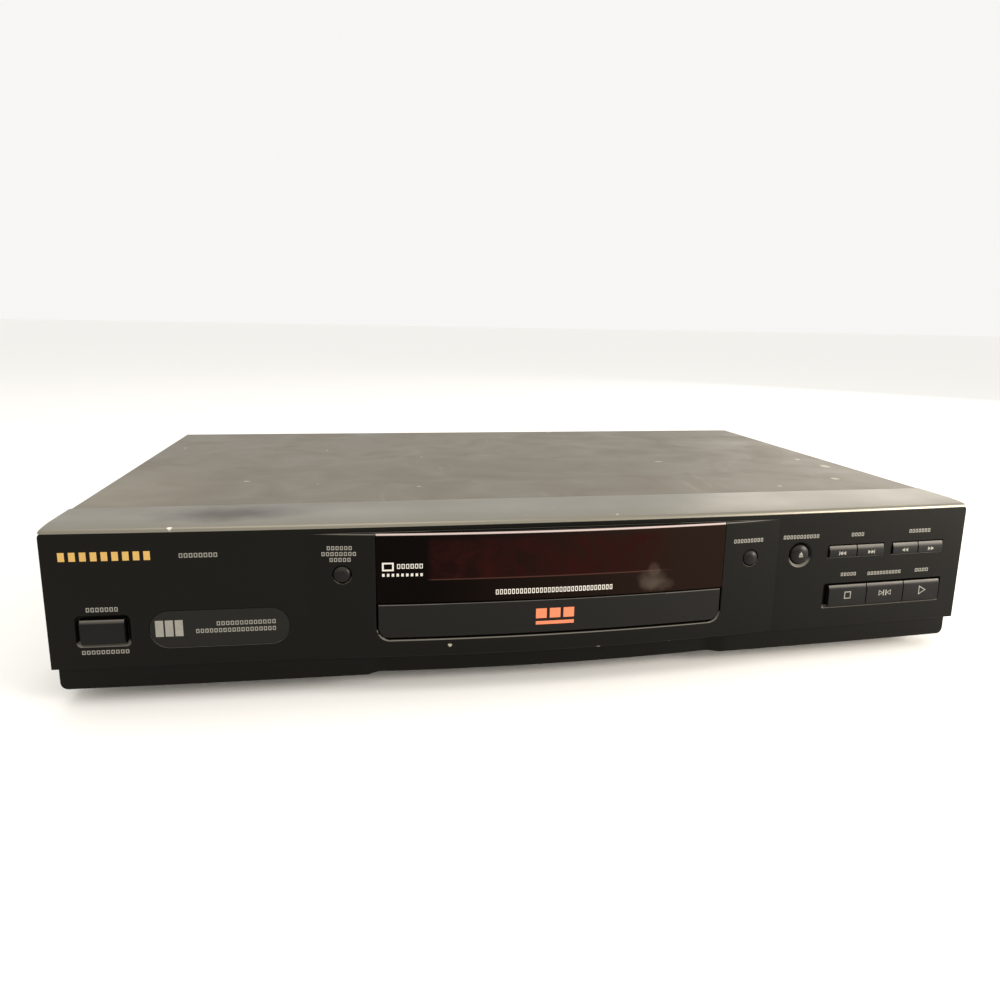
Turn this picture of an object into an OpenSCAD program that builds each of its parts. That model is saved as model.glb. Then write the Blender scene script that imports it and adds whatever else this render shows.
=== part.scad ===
// Full-size disc player with a motor-driven tray.
// Millimetres. X runs to the viewer's right, Y to the back and Z up.
// Z = 0 is the surface that the feet stand on. X = 0 and Y = 0 are the middle of the whole player.
// Inside framed(), Y = 0 is the line between the two front corners of the front panel.

/* [Case] */
// Width of the front panel, the widest part
fascia_w = 430; // [420:1:450]
// How far the front panel stands out past the cover on each side
side_step = 1; // [0.5:0.25:2]
// Height of the case without its feet
case_h = 72; // [70:1:80]
// Depth from the front corners to the back edge of the cover
case_depth = 268; // [264:1:300]
// Thickness of the cover's steel sheet
cover_wall = 0.9; // [0.7:0.1:1.4]
// Thickness of the chassis's steel sheet
chassis_wall = 1; // [0.8:0.1:1.4]
// Height of the chassis's side flanges
chassis_flange_h = 14; // [12:1:22]
// Height of the lip that the cover folds down over the rear panel
rear_lip_h = 10; // [6:1:14]
// Length of one cooling slot in the cover's sides
vent_len = 26; // [10:1:30]
// Width of one cooling slot
vent_w = 2.5; // [1.5:0.5:4]
// Number of cooling slots on each side
vent_count = 9; // [3:1:10]
// Distance between cooling slots
vent_pitch = 7; // [6:0.5:8]
// Distance from the case's back to the first cooling slot
vent_rear_inset = 60; // [55:1:90]

/* [Feet] */
// Height of a foot
foot_h = 7; // [5:0.5:12]
// Diameter of a foot
foot_d = 32; // [20:1:40]
// Distance from the front panel's end to a foot's centre
foot_inset_x = 45; // [30:1:55]
// Distance from the front corners to the front feet's centres
foot_front_y = 44; // [40:1:60]
// Distance from the case's back to the rear feet's centres
foot_rear_inset = 36; // [25:1:60]

/* [Front panel] */
// Thickness of the moulded front wall
fascia_wall = 2.5; // [2:0.1:3]
// Thickness of the panel's side walls
side_wall = 2; // [1.5:0.1:2.5]
// How far the front bows forward between its corners
front_bow = 5.7; // [3:0.1:8]
// Extra reach of the raised middle section at its centre
bulge_reach = 5; // [3:0.1:7]
// Width of the raised section beyond the window on each side
bulge_margin = 29; // [24:0.5:34]
// Drop from the panel's top to the raised section's top
bulge_drop = 2.5; // [1.5:0.1:4]
// Height of the skirt under the panel
skirt_h = 10.7; // [8:0.1:14]
// How far the skirt stands back from the panel's front
skirt_setback = 3.5; // [2:0.1:5]
// How far the skirt stands in from the panel's ends
skirt_inset = 1.5; // [0.5:0.1:3]
// Radius of the panel's rounded top corners
end_round = 2.5; // [1:0.1:4]
// Depth of the silver trim band from front to back
trim_depth = 34; // [28:1:40]
// Fall of the trim band from the cover to its front edge
trim_fall = 2.3; // [2:0.1:4]
// Radius of the trim band's front edge
trim_edge_r = 1.4; // [0.8:0.1:1.8]

/* [Window and door] */
// Width of the opening that the window and the tray door fill
opening_w = 161.4; // [160.5:0.1:166]
// Height of the tray door's lower edge over the case's underside
door_sill_h = 19.6; // [19:0.1:21]
// Height of the tray door
door_h = 15.4; // [14.5:0.1:16.5]
// Thickness of the tray door
door_wall = 2.6; // [2:0.1:3]
// Radius of the door's lower corners
door_corner_r = 5; // [2:0.1:6]
// Gap round the door
door_gap = 0.7; // [0.4:0.05:1]
// Thickness of the window
window_wall = 2.2; // [1.8:0.1:2.4]
// Gap between the window and its opening
window_fit = 0.15; // [0.1:0.05:0.4]

/* [Buttons] */
// How far a button travels
key_travel = 1; // [0.5:0.1:1.2]
// Gap between a button and its hole
key_gap = 0.4; // [0.3:0.05:0.6]
// How far the buttons stand out of the panel
key_proud = 0.9; // [0.4:0.1:1.5]
// Depth of the recesses round the power and transport buttons
recess_depth = 1.8; // [1:0.1:2.2]
// Margin of a recess round its buttons
recess_margin = 1.6; // [1:0.1:3]
// Height of the lower row of controls over the case's underside
lower_row_h = 27; // [24:0.1:30]
// Height of the upper row of controls over the case's underside
upper_row_h = 49.1; // [46:0.1:52]
// Distance from the left end to the power button's centre
power_inset = 21.7; // [18:0.1:26]
// Width of the power button
power_w = 17.5; // [12:0.1:20]
// Height of the power and transport buttons
transport_h = 10.5; // [8:0.1:12]
// Width of one transport button
transport_w = 21; // [16:0.1:22]
// Distance from the right end to the last transport button's edge
transport_inset = 11.5; // [9:0.1:16]
// Width of one search button
search_w = 14.3; // [10:0.1:15]
// Width of one skip button
skip_w = 15; // [10:0.1:16.5]
// Height of the search and skip buttons
small_h = 5.6; // [4.8:0.1:7]
// Distance of the search and skip buttons over the upper row
small_rise = 0.7; // [0:0.1:1.5]
// Distance between the skip pair and the search pair
pair_space = 5.4; // [2.5:0.1:7]
// Distance from the right end to the search pair's edge
search_inset = 12.4; // [9:0.1:16]
// Height of the round buttons' domes
key_dome = 0.8; // [0.4:0.1:1.2]
// Diameter of the open and close button
eject_d = 9.6; // [8:0.1:12]
// Part of the free width between the scroll and skip buttons that lies left of the open and close button
eject_share = 0.63; // [0.4:0.01:0.7]
// Diameter of the two small round buttons
round_d = 7.4; // [5:0.1:9]
// Distance from the opening to each small round button's centre
round_offset = 14.2; // [12:0.1:16]
// Width of the badge plate
badge_w = 57.4; // [40:0.1:62]
// Height of the badge plate
badge_h = 16.5; // [10:0.1:18]
// Thickness of the badge plate
badge_t = 0.8; // [0.5:0.1:1]
// Distance from the left end to the badge plate's centre
badge_inset = 68.7; // [64:0.1:74]

/* [Tray] */
// Width of the disc tray
tray_w = 151; // [148:0.5:152]
// Thickness of the disc tray at its rim
tray_rim_h = 8; // [7:0.1:8.5]
// Distance from the front corners to the tray's rear end when it is closed
tray_rear_y = 183; // [172:1:190]
// Travel of the tray
tray_travel = 138; // [120:1:140]
// Diameter of the recess that holds a disc
disc_recess_d = 121; // [120.5:0.1:124]
// Depth of the disc recess
disc_recess_h = 6; // [5:0.1:6.4]
// Diameter of the inner recess for small discs
small_recess_d = 81; // [80.5:0.1:84]
// Depth of the small recess under the large one
small_recess_h = 0.8; // [0.4:0.1:1]
// Distance from the front corners to the disc's centre when the tray is closed
disc_y = 75; // [73:0.5:77]
// Diameter of the tray's centre hole
tray_hole_d = 38; // [36:0.5:42]
// Running gap round the tray
tray_gap = 0.4; // [0.3:0.05:0.6]

/* [Drive] */
// Tooth module of the rack and gears
tooth_m = 1; // [1:0.05:1]
// Teeth on the drive gear
drive_teeth = 24; // [20:4:24]
// Teeth on the belt pulley's pinion
pinion_teeth = 12; // [12:4:12]
// Sideways play between meshing teeth
backlash = 0.3; // [0.2:0.05:0.4]
// Height of the rack under the tray
rack_h = 5; // [4:0.1:5]
// Distance from the player's centre to the rack's pitch line
rack_x = 40; // [38:0.5:41]
// Distance from the front corners to the drive gear's axis
drive_y = 32; // [30:0.5:34]
// Diameter of the belt pulley
belt_pulley_d = 20; // [16:0.5:21]
// Diameter of the motor pulley
motor_pulley_d = 8; // [7:0.5:9]
// Thickness of the square belt
belt_t = 1.2; // [1:0.1:1.4]
// Distance between the belt pulley's and the motor's axes
belt_span = 17.5; // [17:0.5:18]
// Diameter of the loading motor
loading_motor_d = 20; // [16:0.5:20]
// Diameter of the gears' posts
post_d = 4; // [3:0.1:5]
// Radial clearance of parts that turn on a post or a pin
run_fit = 0.05; // [0.02:0.01:0.09]

/* [Loader frame] */
// Thickness of the loader frame's walls
loader_wall = 3; // [2:0.1:3.4]
// Thickness of the bridge that holds the clamper
bridge_t = 1.2; // [0.8:0.1:1.6]
// Depth of the bridge from front to back
bridge_depth = 36; // [34:1:46]
// Diameter of the clamper
clamper_d = 30; // [28:0.5:32]

/* [Traverse] */
// Angle that the traverse drops to let the tray pass
lift_angle = 5; // [4.9:0.05:5.1]
// Distance from the front corners to the traverse's pivot
pivot_y = 200; // [198:0.5:202]
// Width of the traverse frame
traverse_w = 84; // [80:1:88]
// Thickness of the traverse frame
traverse_t = 6; // [5:0.1:6.2]
// Diameter of the turntable
turntable_d = 30; // [26:0.5:31]
// Diameter of the spindle motor
spindle_motor_d = 26; // [22:0.5:26]
// Diameter of the spindle shaft
spindle_d = 2; // [1.5:0.1:3]
// Distance from the disc's centre to the lens at its innermost place
lens_start = 25; // [24.5:0.1:26]
// Travel of the pickup
sled_travel = 34; // [30:0.5:36]
// Diameter of the pickup's guide rods
rod_d = 3; // [2.5:0.1:3.2]
// Distance from the player's centre to each guide rod
rod_x = 24; // [22:0.5:25]
// Diameter of the pickup's lead screw
screw_d = 4; // [3:0.1:4.4]
// Advance of the pickup for one turn of the lead screw
screw_lead = 12; // [8:1:16]

/* [Rear panel] */
// Thickness of the rear panel's steel sheet
rear_wall = 1; // [0.8:0.1:1.4]
// Outer diameter of a phono socket's sleeve
phono_d = 8.3; // [8:0.05:8.5]
// Length of a phono socket's sleeve
phono_len = 9; // [7:0.1:10]
// Diameter of a phono socket's centre hole
phono_hole_d = 3.2; // [3:0.05:3.6]
// Distance between phono sockets
phono_pitch = 14; // [13:0.5:16]
// Distance from the right end to the phono block's centre
phono_inset = 86; // [85:1:88]
// Distance from the right end to the video socket's centre
video_inset = 55; // [49:1:59]
// Distance from the right end to the digital socket's centre
digital_inset = 30; // [27:1:35]
// Distance from the left end to the mains inlet's centre
inlet_inset = 43; // [35:1:55]
// Width of the mains inlet's socket
inlet_w = 13.8; // [13.4:0.1:14.2]
// Height of the mains inlet's socket
inlet_h = 7.2; // [6.8:0.1:7.6]
// Depth of the mains inlet's socket
inlet_depth = 13; // [11:0.5:15]
// Distance between the mains inlet's pins
inlet_pin_pitch = 8.6; // [8.4:0.05:8.8]
// Diameter of the mains inlet's pins
inlet_pin_d = 2.4; // [2.2:0.05:2.6]

/* [Boards] */
// Thickness of the circuit boards
board_t = 1.6; // [1:0.1:2]
// Height of the boards over the chassis floor
board_rise = 8; // [6:0.5:9]
// Width of the power board
power_board_w = 112; // [104:1:116]
// Width of the main board
main_board_w = 114; // [108:1:116]
// Depth of the power and main boards
board_depth = 180; // [150:1:190]
// Distance from the front corners to the boards behind the front panel
front_board_y = 14.3; // [14:0.1:15]
// Width of the display tube
tube_w = 108; // [80:1:120]
// Height of the display tube
tube_h = 17; // [12:0.5:18]
// Thickness of the display tube
tube_t = 6; // [5:0.1:7]
// Height of the smoothing capacitors
capacitor_h = 32; // [20:1:40]
// Diameter of the smoothing capacitors
capacitor_d = 20; // [12:1:24]
// Height of the heatsink
heatsink_h = 34; // [20:1:42]
// Height of the power transformer
transformer_h = 26; // [18:1:34]

/* [Screws] */
// Diameter of the screws' shanks
screw_shank_d = 3; // [2.5:0.1:3.5]
// Diameter of the screws' heads
screw_head_d = 6; // [5:0.1:7]
// Height of the screws' heads
screw_head_h = 2; // [1.4:0.1:2.4]

/* [Hidden] */

$fn = 64;
bow_fn = 720;
cut = 1;
seat_gap = 0.3;
touch = 0.1;

// Heights
base_z = foot_h;
floor_z = base_z + chassis_wall;
top_z = base_z + case_h;
panel_top_z = top_z - trim_fall;
skirt_top_z = base_z + skirt_h;
bulge_top_z = panel_top_z - bulge_drop;
cover_inner_z = top_z - cover_wall;
door_z = base_z + door_sill_h;
door_top_z = door_z + door_h;
window_z = door_top_z + door_gap;
lower_z = base_z + lower_row_h;
upper_z = base_z + upper_row_h;
small_z = upper_z + small_rise;

// Widths
panel_x = fascia_w / 2;
cover_x = panel_x - side_step;
cover_inner_x = cover_x - cover_wall;
chassis_x = panel_x - max(side_wall, side_step + cover_wall) - seat_gap;
bulge_x = opening_w / 2 + bulge_margin;
bulge_wall = 4;
door_x = opening_w / 2 - door_gap;
window_x = opening_w / 2 - window_fit;

// Curves of the front: a wide bow, and a tighter one on the raised middle section
bow_r = (panel_x * panel_x + front_bow * front_bow) / (2 * front_bow);
function bow_y(x) = bow_r - front_bow - sqrt(bow_r * bow_r - x * x);
bulge_sag = front_bow + bulge_reach + bow_y(bulge_x);
bulge_r = (bulge_x * bulge_x + bulge_sag * bulge_sag) / (2 * bulge_sag);
function bulge_y(x) = bulge_r - front_bow - bulge_reach - sqrt(bulge_r * bulge_r - x * x);
function face_y(x) = abs(x) < bulge_x ? bulge_y(x) : bow_y(x);
front_y = -front_bow - bulge_reach;
front_reach = -front_y + cut;

// Back of the case
lip_y = case_depth - cover_wall;
rear_y = lip_y - rear_wall;
chassis_front_y = front_board_y - chassis_wall - seat_gap;
chassis_rear_y = rear_y;
chassis_lip_h = 4.6;
chassis_nose_x = panel_x - skirt_inset - side_wall - seat_gap;
socket_flange = 0.6;
back_y = lip_y + socket_flange + phono_len;
mid_y = (front_y + back_y) / 2;

// Chassis and boards
board_z = floor_z + board_rise;
board_top_z = board_z + board_t;
stand_d = 7;
pilot_d = screw_shank_d + 0.1;
through_d = screw_shank_d + 0.3;
press_fit = 0.04;
board_inset = 5;
board_gap = 2;
main_board_x1 = chassis_x - chassis_wall - board_gap;
main_board_x0 = main_board_x1 - main_board_w;
power_board_x0 = -chassis_x + chassis_wall + board_gap;
power_board_x1 = power_board_x0 + power_board_w;
board_y1 = rear_y - chassis_wall - board_gap;
board_y0 = board_y1 - board_depth;

// Tray and its rack
tray_top_z = door_top_z;
tray_z = tray_top_z - tray_rim_h;
tray_front_x = tray_w / 2;
holder_reach = 10;
tray_slot_y = disc_y + lens_start + sled_travel + holder_reach + 1.5;
tray_slot_w = tray_hole_d + 2;
scoop_d = 26;
scoop_step = 1.5;
tray_rim_w = 7;
tray_floor_t = 2;
rack_z = tray_z - rack_h;
rack_back_w = 4;
tooth_pitch = PI * tooth_m;
pressure_angle = 20;
addendum = 0.8 * tooth_m;
dedendum = 1.1 * tooth_m;
drive_r = tooth_m * drive_teeth / 2;
pinion_r = tooth_m * pinion_teeth / 2;
drive_x = -rack_x - drive_r;
belt_angle = 135;
belt_x = drive_x + (drive_r + pinion_r) * cos(belt_angle);
belt_y = drive_y + (drive_r + pinion_r) * sin(belt_angle);
motor_y = belt_y - belt_span;
rack_teeth = ceil((tray_travel + 4 * tooth_pitch) / tooth_pitch);

// Gear train heights
plate_z = floor_z + 12;
plate_t = 2;
plate_top_z = plate_z + plate_t;
gear_top_z = tray_z - 0.6;
gear_z = rack_z - 0.5;
pulley_z = plate_top_z + 0.4;
pulley_h = 4.6;
gear_hub_d = post_d + 3;
pulley_top_z = pulley_z + pulley_h;
groove_h = 2.6;
groove_z = pulley_z + (pulley_h - groove_h) / 2;
groove_depth = belt_t + 0.2;
belt_h = groove_h - 0.6;
motor_boss_d = 6.4;

// Loader frame
rail_gap = 0.3;
rail_x = tray_front_x + tray_gap;
rail_out_x = rail_x + loader_wall;
rail_ledge = 3;
loader_y0 = 4;
loader_low_y0 = front_board_y + board_t + 1;
loader_y1 = pivot_y + 10;
loader_low_z = floor_z + 0.6;
bridge_z = tray_top_z + 4;
loader_post_x = rail_out_x + 6;
loader_post_y = [loader_low_y0 + 8, loader_y1 - 12];
loader_lug_z = floor_z + 12;
lug_w = 8;
cross_t = 2;
guard_reach = 30;
guard_t = 1.8;
pivot_lug_r = 5;
slider_room = 6;
loader_lug_t = 3;

// Traverse, drawn level and then let down by lift_angle about its pivot
traverse_top_z = rack_z - 0.5;
traverse_z = traverse_top_z - traverse_t;
pivot_z = traverse_z + traverse_t / 2;
pivot_pin_d = 4;
pivot_lug_x = traverse_w / 2 + 2;
pivot_lug_w = 6;
traverse_y0 = disc_y - 23;
traverse_y1 = pivot_y + 3.5;
disc_plane_z = tray_top_z - 0.2;
turntable_t = 2;
turntable_z = disc_plane_z - turntable_t;
hub_d = 14.8;
hub_h = 2.4;
hub_bevel = 1.5;
turntable_boss_d = 8;
motor_top_z = turntable_z - 1.3;
lens_y = disc_y + lens_start;
lens_top_z = disc_plane_z - 1.8;
sled_y0 = disc_y + spindle_motor_d / 2 + 0.6;
sled_len = 33;
sled_z = traverse_z + 2;
sled_top_z = tray_z - 0.5;
sled_x = rod_x + 4;
holder_w = 22;
holder_inset = 2;
arm_y = 8;
arm_w = 12;
lens_d = 8.4;
lens_rise = 1;
lens_seat = 2;
rod_z = traverse_z + 4;
screw_x = sled_x + screw_d / 2 + 0.8;
thread_w = 1.2;
window_y0 = sled_y0 - 2;
window_y1 = sled_y0 + sled_len + sled_travel + 2;
window_half_x = screw_x + screw_d / 2 + 1.2;
rod_seat = 4;
screw_end_d = screw_d - 1.5;
sled_motor_d = 10;
sled_motor_y = window_y1 + 6;
sled_motor_len = 11;
sled_motor_room = 6;
pin_pad = 4;

// Lift slider and the traverse's two lift pins
lift_pin_d = 3;
lift_pin_x = [2, 26];
lift_pin_z = traverse_top_z - 0.5;
slider_y = 45.5;
slider_t = 2.5;
lift_pin_y = slider_y + slider_t / 2;
lift_pin_tip_y = slider_y - 0.6;
pin_arm = pivot_y - lift_pin_y;
lift_pin_low_z = pivot_z + (lift_pin_z - pivot_z) * cos(lift_angle) - pin_arm * sin(lift_angle);
lift_rise = lift_pin_z - lift_pin_low_z;
slider_travel = 24;
cam_slot_w = lift_pin_d + 1.3;
cam_len = sqrt(lift_rise * lift_rise + slider_travel * slider_travel);
cam_angle = atan(lift_rise / slider_travel);
slider_z = lift_pin_low_z - cam_slot_w / 2 - 1.5;
slider_top_z = lift_pin_z + cam_slot_w / 2 + 1.5;
slider_x0 = lift_pin_x[0] - slider_travel - 6;
slider_x1 = lift_pin_x[1] + 6;
channel_lip = 1.2;
channel_wall = 1.6;

// Clamper
clamp_face_z = disc_plane_z + 1.2;
clamper_neck_d = clamper_d - 8;
hub_room = 0.7;
clamper_flange_t = 1.4;

// Buttons: [x, z, width, height, on the raised section, in a recess]
transport_x1 = panel_x - transport_inset;
search_x1 = panel_x - search_inset;
skip_x1 = search_x1 - 2 * search_w - key_gap - pair_space;
function transport_key(n) = [transport_x1 - transport_w * (n + 0.5) - key_gap * n, lower_z, transport_w,
                             transport_h, false, true];
function search_key(n) = [search_x1 - search_w * (n + 0.5) - key_gap * n, small_z, search_w, small_h,
                          false, false];
function skip_key(n) = [skip_x1 - skip_w * (n + 0.5) - key_gap * n, small_z, skip_w, small_h, false, false];
power_key = [-panel_x + power_inset, lower_z, power_w, transport_h, false, true];
surround_key = [-opening_w / 2 - round_offset, upper_z, round_d, round_d, true, false];
scroll_key = [opening_w / 2 + round_offset, upper_z, round_d, round_d, true, false];
eject_x0 = scroll_key[0] + round_d / 2 + eject_d / 2;
eject_x1 = skip_key(1)[0] - skip_w / 2 - eject_d / 2;
eject_key = [eject_x0 + (eject_x1 - eject_x0) * eject_share, upper_z, eject_d, eject_d, false, false];
square_keys = [power_key, transport_key(0), transport_key(1), transport_key(2), search_key(0), search_key(1),
               skip_key(0), skip_key(1)];
round_keys = [eject_key, surround_key, scroll_key];
key_flange_t = 1.2;
key_flange_over = 1.5;
key_stem = 3.6;
key_edge = 0.6;
switch_w = 6;
switch_t = 3.5;
switch_y = front_board_y - switch_t;
plunger_d = 3;
plunger_t = 0.6;
stem_y = switch_y - plunger_t - key_travel - seat_gap;

// Boards behind the front panel
key_board_edge = 5;
left_board_x0 = -panel_x + side_wall + 4;
left_board_x1 = surround_key[0] + key_board_edge;
right_board_x0 = scroll_key[0] - key_board_edge;
right_board_x1 = panel_x - side_wall - 4;
key_board_z0 = lower_z - transport_h / 2 - 4;
key_board_z1 = upper_z + 15;
display_boss_d = 5;
display_boss_x = opening_w / 2 + display_boss_d / 2 + 0.6;
display_board_x = display_boss_x + display_boss_d / 2;
thin_screw_d = 2;
thin_pilot_d = thin_screw_d + 0.1;
thin_through_d = thin_screw_d + 0.3;
thin_head_h = 1;
pilot_len = 7;
tap_len = pilot_len - 1;
display_board_z0 = bridge_z + 1.5;
display_board_z1 = bulge_top_z - fascia_wall - 0.8;
display_boss_z = [display_board_z0 + display_boss_d / 2, display_board_z1 - display_boss_d / 2];
display_boss_xz = [for (s = [-1, 1], z = display_boss_z) [s * display_boss_x, z]];
tube_z = display_board_z1 - tube_h / 2 - 1;
tube_y = front_board_y - tube_t;
tube_tip_d = 3;

// Rear sockets, placed over the boards
phono_x = panel_x - phono_inset;
video_x = panel_x - video_inset;
digital_x = panel_x - digital_inset;
inlet_x = panel_x - inlet_inset;
phono_z = board_top_z + phono_pitch / 2 + 1;
phono_rows = 2;
phono_columns = 3;
phono_step = 2;
phono_block_w = phono_columns * phono_pitch;
phono_block_h = phono_rows * phono_pitch + 1;
phono_hole_depth = 10;
digital_w = 12;
video_d = 12;
video_w = 14;
video_wall = 1.2;
video_core_d = 6.6;
video_depth = 6;
video_z = phono_z + phono_pitch / 2;
digital_z = phono_z;
inlet_z = board_top_z + inlet_h / 2 + 3;
inlet_wall = 2;
inlet_back = 3;
inlet_box_w = inlet_w + 2 * inlet_wall;
inlet_box_h = inlet_h + 2 * inlet_wall;
inlet_y0 = lip_y + socket_flange - inlet_depth - inlet_back;
socket_body_depth = 16;
panel_hole_gap = 0.3;

// Screws
side_screw_y = [70, case_depth - 40];
side_screw_z = floor_z + chassis_flange_h / 2;
lip_screw_x = 60;
lip_screw_z = top_z - rear_lip_h / 2;
bridge_screw_x = rail_x + loader_wall / 2;

module framed() {
    translate([0, -mid_y, 0]) children();
}

// Box between two corners
module block(low, high) {
    translate(low) cube(high - low);
}

// Flat outline in X and Z, pushed along Y from y0 to y1
module along_y(y0, y1) {
    translate([0, y1, 0]) rotate([90, 0, 0]) linear_extrude(y1 - y0) children();
}

// Round bar along Y
module bar_y(x, z, d, y0, y1) {
    translate([x, y1, z]) rotate([90, 0, 0]) cylinder(d = d, h = y1 - y0);
}

// Round bar along X
module bar_x(y, z, d, x0, x1) {
    translate([x0, y, z]) rotate([0, 90, 0]) cylinder(d = d, h = x1 - x0);
}

// Round post along Z
module post(x, y, d, z0, z1) {
    translate([x, y, z0]) cylinder(d = d, h = z1 - z0);
}

// Rectangle with rounded corners, true arcs
module round_rect(w, h, r) {
    square([w - 2 * r, h], center = true);
    square([w, h - 2 * r], center = true);
    for (sx = [-1, 1], sz = [-1, 1]) translate([sx * (w / 2 - r), sz * (h / 2 - r)]) circle(r);
}

// Everything behind the wide bow, starting at a depth behind its face
module behind_bow(depth, z0, z1) {
    translate([0, bow_r - front_bow, z0]) cylinder(r = bow_r - depth, h = z1 - z0, $fn = bow_fn);
}

// Everything behind the raised section's bow, starting at a depth behind its face
module behind_bulge(depth, z0, z1) {
    translate([0, bulge_r + front_y, z0]) cylinder(r = bulge_r - depth, h = z1 - z0, $fn = bow_fn);
}

// Slice of the wide bow between two depths
module bow_slice(x0, x1, depth0, depth1, z0, z1) {
    difference() {
        intersection() {
            behind_bow(depth0, z0, z1);
            block([x0, -front_reach, z0], [x1, trim_depth, z1]);
        }
        behind_bow(depth1, z0 - cut, z1 + cut);
    }
}

// Slice of the raised section between two depths
module bulge_slice(x0, x1, depth0, depth1, z0, z1) {
    difference() {
        intersection() {
            behind_bulge(depth0, z0, z1);
            block([x0, -front_reach, z0], [x1, trim_depth, z1]);
        }
        behind_bulge(depth1, z0 - cut, z1 + cut);
    }
}

// Outline of the front panel's ends, with rounded top corners
module panel_outline(z0, z1) {
    translate([-panel_x, z0]) square([fascia_w, z1 - z0 - end_round]);
    translate([-panel_x + end_round, z1 - end_round - cut])
        square([fascia_w - 2 * end_round, end_round + cut]);
    for (s = [-1, 1]) translate([s * (panel_x - end_round), z1 - end_round]) circle(end_round);
}

// ---- Case ----

chassis_stand_xy = [
    for (x = [main_board_x0 + board_inset, main_board_x1 - board_inset],
         y = [board_y0 + board_inset, board_y1 - board_inset]) [x, y],
    for (x = [power_board_x0 + board_inset, power_board_x1 - board_inset],
         y = [board_y0 + board_inset, board_y1 - board_inset]) [x, y]
];
loader_post_xy = [for (s = [-1, 1], y = loader_post_y) [s * loader_post_x, y]];
foot_xy = [for (y = [foot_front_y, case_depth - foot_rear_inset], s = [-1, 1])
    [s * (panel_x - foot_inset_x), y]];

module bottom_chassis() {
    color("#8f9088") framed() difference() {
        union() {
            block([-chassis_x, trim_depth + seat_gap, base_z], [chassis_x, chassis_rear_y, floor_z]);
            block([-chassis_nose_x, chassis_front_y, base_z], [chassis_nose_x, trim_depth + cut, floor_z]);
            for (s = [-1, 1])
                side_block(s, chassis_x - chassis_wall, chassis_x, trim_depth + seat_gap, chassis_rear_y,
                           floor_z - touch, floor_z + chassis_flange_h);
            block([-chassis_nose_x, chassis_front_y, floor_z - touch],
                  [chassis_nose_x, chassis_front_y + chassis_wall, floor_z + chassis_lip_h]);
            block([-chassis_x, chassis_rear_y - chassis_wall, floor_z - touch],
                  [chassis_x, chassis_rear_y, floor_z + board_rise - touch]);
            for (p = chassis_stand_xy) post(p[0], p[1], stand_d, floor_z - touch, board_z);
            for (p = loader_post_xy) post(p[0], p[1], stand_d, floor_z - touch, loader_lug_z);
        }
        for (p = chassis_stand_xy) post(p[0], p[1], pilot_d, base_z - cut, board_z + cut);
        for (p = loader_post_xy) post(p[0], p[1], pilot_d, base_z - cut, loader_lug_z + cut);
        for (p = foot_xy) post(p[0], p[1], pilot_d, base_z - cut, floor_z + cut);
        for (y = side_screw_y)
            bar_x(y, side_screw_z, pilot_d, -chassis_x - cut, chassis_x + cut);
    }
}

module top_cover() {
    color("#93907f") framed() difference() {
        block([-cover_x, trim_depth + seat_gap, base_z + seat_gap], [cover_x, case_depth, top_z]);
        block([-cover_inner_x, trim_depth, base_z - cut], [cover_inner_x, lip_y, cover_inner_z]);
        block([-cover_inner_x, lip_y - cut, base_z - cut],
              [cover_inner_x, case_depth + cut, top_z - rear_lip_h]);
        for (y = side_screw_y)
            bar_x(y, side_screw_z, pilot_d, -cover_x - cut, cover_x + cut);
        for (s = [-1, 1]) bar_y(s * lip_screw_x, lip_screw_z, pilot_d, lip_y - cut, case_depth + cut);
        for (n = [0 : vent_count - 1])
            translate([0, case_depth - vent_rear_inset - n * vent_pitch, base_z + case_h / 2])
                cube([fascia_w, vent_w, vent_len], center = true);
    }
}

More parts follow.
